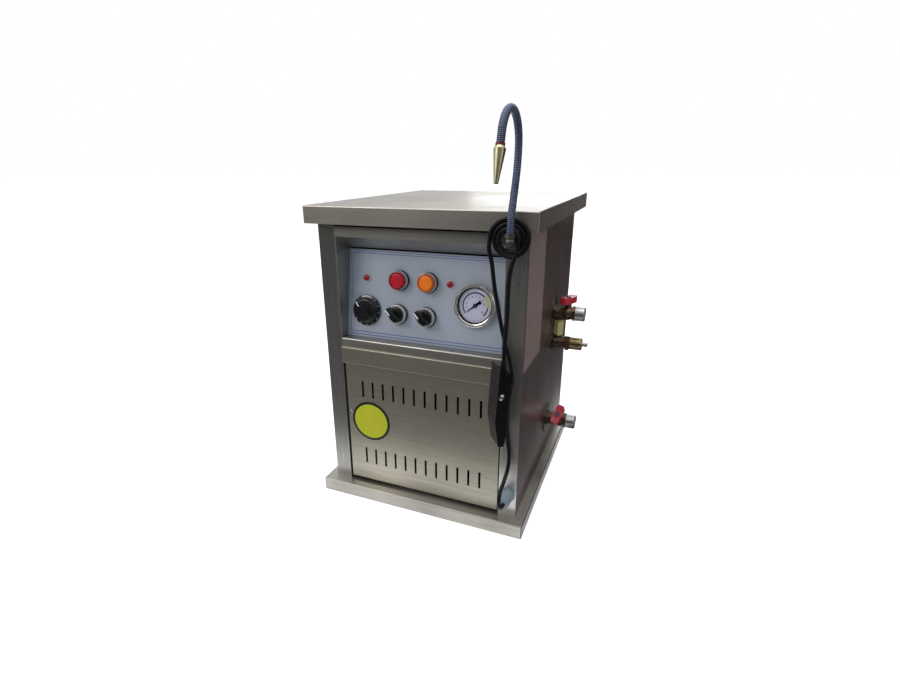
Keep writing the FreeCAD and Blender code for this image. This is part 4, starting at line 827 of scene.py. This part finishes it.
number_ink = finish("number_ink", paint(52, 50, 72), paint(40, 38, 60), (900, 900, 900), 0.6, smear=80)
points, faces = [], []
for number in range(11):
    written = bpy.data.curves.new("number", "FONT")
    written.body = str(number)
    written.size = number_size
    written.offset = number_weight
    written.align_x = "CENTER"
    written.align_y = "CENTER"
    written.extrude = number_height
    holder = bpy.data.objects.new("number", written)
    flat = bpy.data.meshes.new_from_object(holder)
    angle = math.radians(needle_zero - needle_sweep * number / 10)
    spots = np.array([vertex.co for vertex in flat.vertices])
    spots = (on_panel(gauge_x, gauge_climb, dial_face) + spots[:, :1] * across + spots[:, 1:2] * panel_up
             + spots[:, 2:] * panel_out + number_radius * (math.cos(angle) * across + math.sin(angle) * panel_up))
    faces += [[corner + len(points) for corner in polygon.vertices] for polygon in flat.polygons]
    points += spots.tolist()
    bpy.data.objects.remove(holder)
    bpy.data.meshes.remove(flat)
    bpy.data.curves.remove(written)
number_mesh = bpy.data.meshes.new("dial_numbers")
number_mesh.from_pydata(points, [], faces)
number_mesh.materials.append(number_ink)
dial_numbers = bpy.data.objects.new("dial_numbers", number_mesh)
scene.collection.objects.link(dial_numbers)
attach(dial_numbers, "cabinet")

needle_black = finish("needle_black", paint(6, 6, 14), paint(4, 4, 10), (900, 900, 900), 0.6, smear=90,
                      Specular_IOR_Level=0.05)
dress(needle_black, "gauge_needle")
clear_glass = finish("clear_glass", paint(34, 36, 38), paint(26, 28, 30), (300, 300, 300), 0.04, drift=0.015,
                     smear=30, Alpha=0.07)
dress(clear_glass, "gauge_glass")
dress(moulded_black, "thermostat_body")

# Gooseneck hose
# Steam hose under a wound steel sleeve, blue-grey with its grooves painted near black as shade, that holds the shape
# it is bent to.
neck_x = 0.153
neck_start = (-0.231, 0.485)
neck_stretches = [(0.0100, 0.0), (0.0500, 20.0), (0.0380, 0.0), (0.1300, -20.0), (0.0404, -163.0), (0.0116, 0.0)]
rib_count = 108
root_radius = 0.0045
flank_radius = 0.00476
crest_radius = 0.0050
rib_profile = [(0.0, root_radius), (0.10, flank_radius), (0.24, crest_radius), (0.60, crest_radius),
               (0.76, flank_radius), (0.86, root_radius)]
groove_rows = (0, 4, 5)
hose_sides = 28


def neck_line(distance):
    """Centre and heading of the hose at each distance: straight runs and arcs, one after another, in one plane."""
    distance = np.asarray(distance, dtype=float)
    y, z, heading, passed = neck_start[0], neck_start[1], 0.0, 0.0
    centres = np.zeros(distance.shape + (2,))
    headings = np.zeros(distance.shape)
    for size, turn in neck_stretches:
        angle = math.radians(turn)
        length = size * abs(angle) if turn else size
        inside = np.clip(distance - passed, 0, length)
        here = distance >= passed
        if turn:
            bend = math.copysign(size, angle)
            swing = heading + inside / bend
            run_y = y + bend * (math.cos(heading) - np.cos(swing))
            run_z = z + bend * (np.sin(swing) - math.sin(heading))
        else:
            swing = heading + 0 * inside
            run_y = y + inside * math.sin(heading)
            run_z = z + inside * math.cos(heading)
        centres[here] = np.stack([run_y, run_z], axis=-1)[here]
        headings[here] = swing[here]
        if turn:
            y, z = (y + bend * (math.cos(heading) - math.cos(heading + angle)),
                    z + bend * (math.sin(heading + angle) - math.sin(heading)))
        else:
            y, z = y + length * math.sin(heading), z + length * math.cos(heading)
        heading += angle
        passed += length
    return centres, headings


neck_length = sum(size * math.radians(abs(turn)) if turn else size for size, turn in neck_stretches)
rib = np.arange(rib_count)[:, None]
along = ((rib + np.array([share for share, _ in rib_profile])[None, :]) * neck_length / rib_count).ravel()
width = np.tile([r for _, r in rib_profile], rib_count)
along = np.append(along, neck_length)
width = np.append(width, root_radius)
centres, headings = neck_line(along)
turn = np.linspace(0, 2 * math.pi, hose_sides, endpoint=False)
sideways = np.stack([np.zeros_like(headings), np.cos(headings), -np.sin(headings)], axis=-1)
middle = np.concatenate([np.full((len(along), 1), neck_x), centres], axis=1)
hose_grid = (middle[:, None, :] + width[:, None, None] * (np.cos(turn)[None, :, None] * across[None, None, :]
             + np.sin(turn)[None, :, None] * sideways[:, None, :]))
hose_steel = finish("hose_steel_finish", paint(104, 112, 140), paint(72, 80, 104), (600, 600, 600), 0.3, smear=60,
                    Metallic=0.6)
# Near black for the faces in the grooves: painted shade.
hose_groove_shade = finish("hose_groove_shade", paint(18, 20, 30), paint(10, 12, 20), (600, 600, 600), 0.5, smear=60,
                      Specular_IOR_Level=0.2)
gooseneck_hose = piece("gooseneck_hose", [hose_grid], [hose_steel, hose_groove_shade], None,
                       ["hose_lower", "hose_flex", "hose_upper"], sharp=50.0)
rows_passed = np.arange(len(gooseneck_hose.data.polygons)) // hose_sides
in_groove = np.isin(rows_passed % len(rib_profile), groove_rows)
gooseneck_hose.data.polygons.foreach_set("material_index", in_groove.astype(np.int32))
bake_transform(gooseneck_hose)

# Nozzle, ferrule and elbow
# Turned brass nozzle, dark red-brown crimped ferrule, and a dull nickel elbow with its lock nut.
turned_brass = finish("turned_brass", paint(188, 180, 146), paint(148, 138, 106), (900, 900, 900), 0.3, smear=60,
                      relief=0.00002, Metallic=1.0)
dress(turned_brass, "steam_nozzle")
ferrule_copper = finish("ferrule_copper", paint(96, 44, 36), paint(64, 28, 24), (700, 700, 700), 0.4, smear=90,
                        Metallic=0.5)
dress(ferrule_copper, "hose_ferrule")
dull_nickel = finish("dull_nickel", paint(118, 115, 108), paint(66, 64, 60), (300, 300, 300), 0.5, smear=120,
                     relief=0.00003, Metallic=0.9)
dress(dull_nickel, "neck_elbow", "neck_lock_nut")

# Cable glands
# Moulded plastic, pale blue-grey, slightly chalky where it has been handled.
gland_plastic = finish("gland_plastic", paint(140, 154, 164), paint(118, 132, 142), (500, 500, 500), 0.42, smear=70,
                       relief=0.00004, Specular_IOR_Level=0.4)
dress(gland_plastic, "pedal_gland", "mains_gland")

# Foot pedal
# Black moulded pedal on its side: a dark grey treadle face with paler stripes as painted light on ribs that have no
# relief, black skirts and base, plated pin, soft feet.
pedal_pivot = (0.1439, -0.233, 0.2595)
pedal_turn = math.radians(34)
face_levels = ((0.0410, -0.0043), (-0.0400, -0.0088), (-0.0792, -0.0028))
face_depth = 0.0009
face_rib_pitch = 0.0032
face_groove_share = 0.3

treadle_black = finish("treadle_black", paint(17, 17, 19), paint(11, 11, 13), (600, 600, 600), 0.36, smear=50,
                       relief=0.00002, Specular_IOR_Level=0.12)
tree = treadle_black.node_tree
place = tree.nodes.new("ShaderNodeTexCoord")
shift = tree.nodes.new("ShaderNodeVectorMath")
shift.operation = "SUBTRACT"
shift.inputs[1].default_value = pedal_pivot
tree.links.new(place.outputs["Object"], shift.inputs[0])
along = tree.nodes.new("ShaderNodeVectorMath")
along.operation = "DOT_PRODUCT"
along.inputs[1].default_value = (math.cos(pedal_turn), math.sin(pedal_turn), 0)
tree.links.new(shift.outputs[0], along.inputs[0])
split = tree.nodes.new("ShaderNodeSeparateXYZ")
tree.links.new(shift.outputs[0], split.inputs[0])
sides = []
for (high, high_face), (low, low_face) in zip(face_levels, face_levels[1:]):
    slope = (high_face - low_face) / (high - low)
    sides.append(step(tree, "ADD", step(tree, "MULTIPLY", split.outputs["Z"], slope), low_face - slope * low))
on_face = step(tree, "LESS_THAN", along.outputs["Value"],
               step(tree, "ADD", step(tree, "MAXIMUM", *sides), face_depth))
# Paler stripes over most of each rib pitch, with the face grey left in the rest: painted light on the rib tops and
# painted shade in the grooves.
lit_rib_stripes = step(tree, "GREATER_THAN", step(tree, "FRACT", step(tree, "DIVIDE", split.outputs["Z"], face_rib_pitch)),
            face_groove_share)
overprint(treadle_black, on_face, paint(28, 28, 29))
overprint(treadle_black, step(tree, "MULTIPLY", on_face, lit_rib_stripes), paint(40, 39, 39))
dress(treadle_black, "pedal_treadle")
pedal_black = finish("pedal_black", paint(16, 16, 18), paint(10, 10, 12), (500, 500, 500), 0.36, smear=60,
                     relief=0.00003, Specular_IOR_Level=0.14)
dress(pedal_black, "pedal_base")
soft_rubber = finish("soft_rubber", paint(24, 24, 26), paint(16, 16, 18), (1200, 1200, 1200), 0.6, smear=90,
                     relief=0.00006, Specular_IOR_Level=0.15)
dress(soft_rubber, "pedal_feet", "pedal_relief")
plated = finish("plated_steel", paint(188, 186, 180), paint(150, 148, 144), (600, 600, 600), 0.25, smear=80,
                Metallic=1.0)
dress(plated, "pedal_pin", "relief_stem")

# Valves
# Cast brass gone brown from heat, a cleaner yellow nipple and cap, chromed outlets and red enamelled handles.
brown_brass = finish("brown_brass", paint(118, 98, 80), paint(72, 57, 46), (260, 260, 260), 0.42, smear=90,
                     relief=0.00008, Metallic=0.85)
dress(brown_brass, "inlet_valve", "drain_valve", "relief_tee")
cap_brass = finish("cap_brass", paint(176, 160, 116), paint(112, 94, 60), (260, 260, 260), 0.32, smear=110,
                   relief=0.00005, Metallic=0.95)
dress(cap_brass, "relief_cap")
nipple_brass = finish("nipple_brass", paint(214, 210, 142), paint(196, 190, 120), (240, 240, 240), 0.4, smear=50,
                      Metallic=0.45)
dress(nipple_brass, "relief_bridge")
valve_chrome = finish("valve_chrome", paint(200, 202, 202), paint(160, 162, 163), (300, 300, 300), 0.3, smear=90,
                      drift=0.08, relief=0.00004, Metallic=0.9)
dress(valve_chrome, "valve_outlets")
red_enamel = finish("red_enamel", paint(206, 44, 68), paint(172, 26, 48), (300, 300, 300), 0.28, smear=60,
                    relief=0.00004, Coat_Weight=0.3)
dress(red_enamel, "inlet_handle", "drain_handle")
washer_steel = finish("washer_steel", paint(104, 96, 88), paint(66, 60, 55), (240, 240, 240), 0.36, smear=60,
                      relief=0.00006, Metallic=0.9)
dress(washer_steel, "valve_lock_nuts")
nut_steel = finish("nut_steel", paint(84, 88, 90), paint(58, 60, 63), (500, 500, 500), 0.3, smear=90, Metallic=0.9)
dress(nut_steel, "inlet_handle_nut", "drain_handle_nut")

# Inside the cabinet
# Boiler in a dark lagging jacket, and the heater, steam valve and copper pipe round it.
lagging = finish("dark_lagging", paint(40, 38, 36), paint(26, 25, 24), (120, 120, 120), 0.8, smear=30, relief=0.0004,
                 Specular_IOR_Level=0.1)
dress(lagging, "boiler_shell")
heater_copper = finish("heater_copper", paint(120, 80, 60), paint(86, 56, 42), (300, 300, 300), 0.4, smear=60,
                       Metallic=0.8)
dress(heater_copper, "heater", "steam_pipe")
dress(moulded_black, "solenoid_valve")
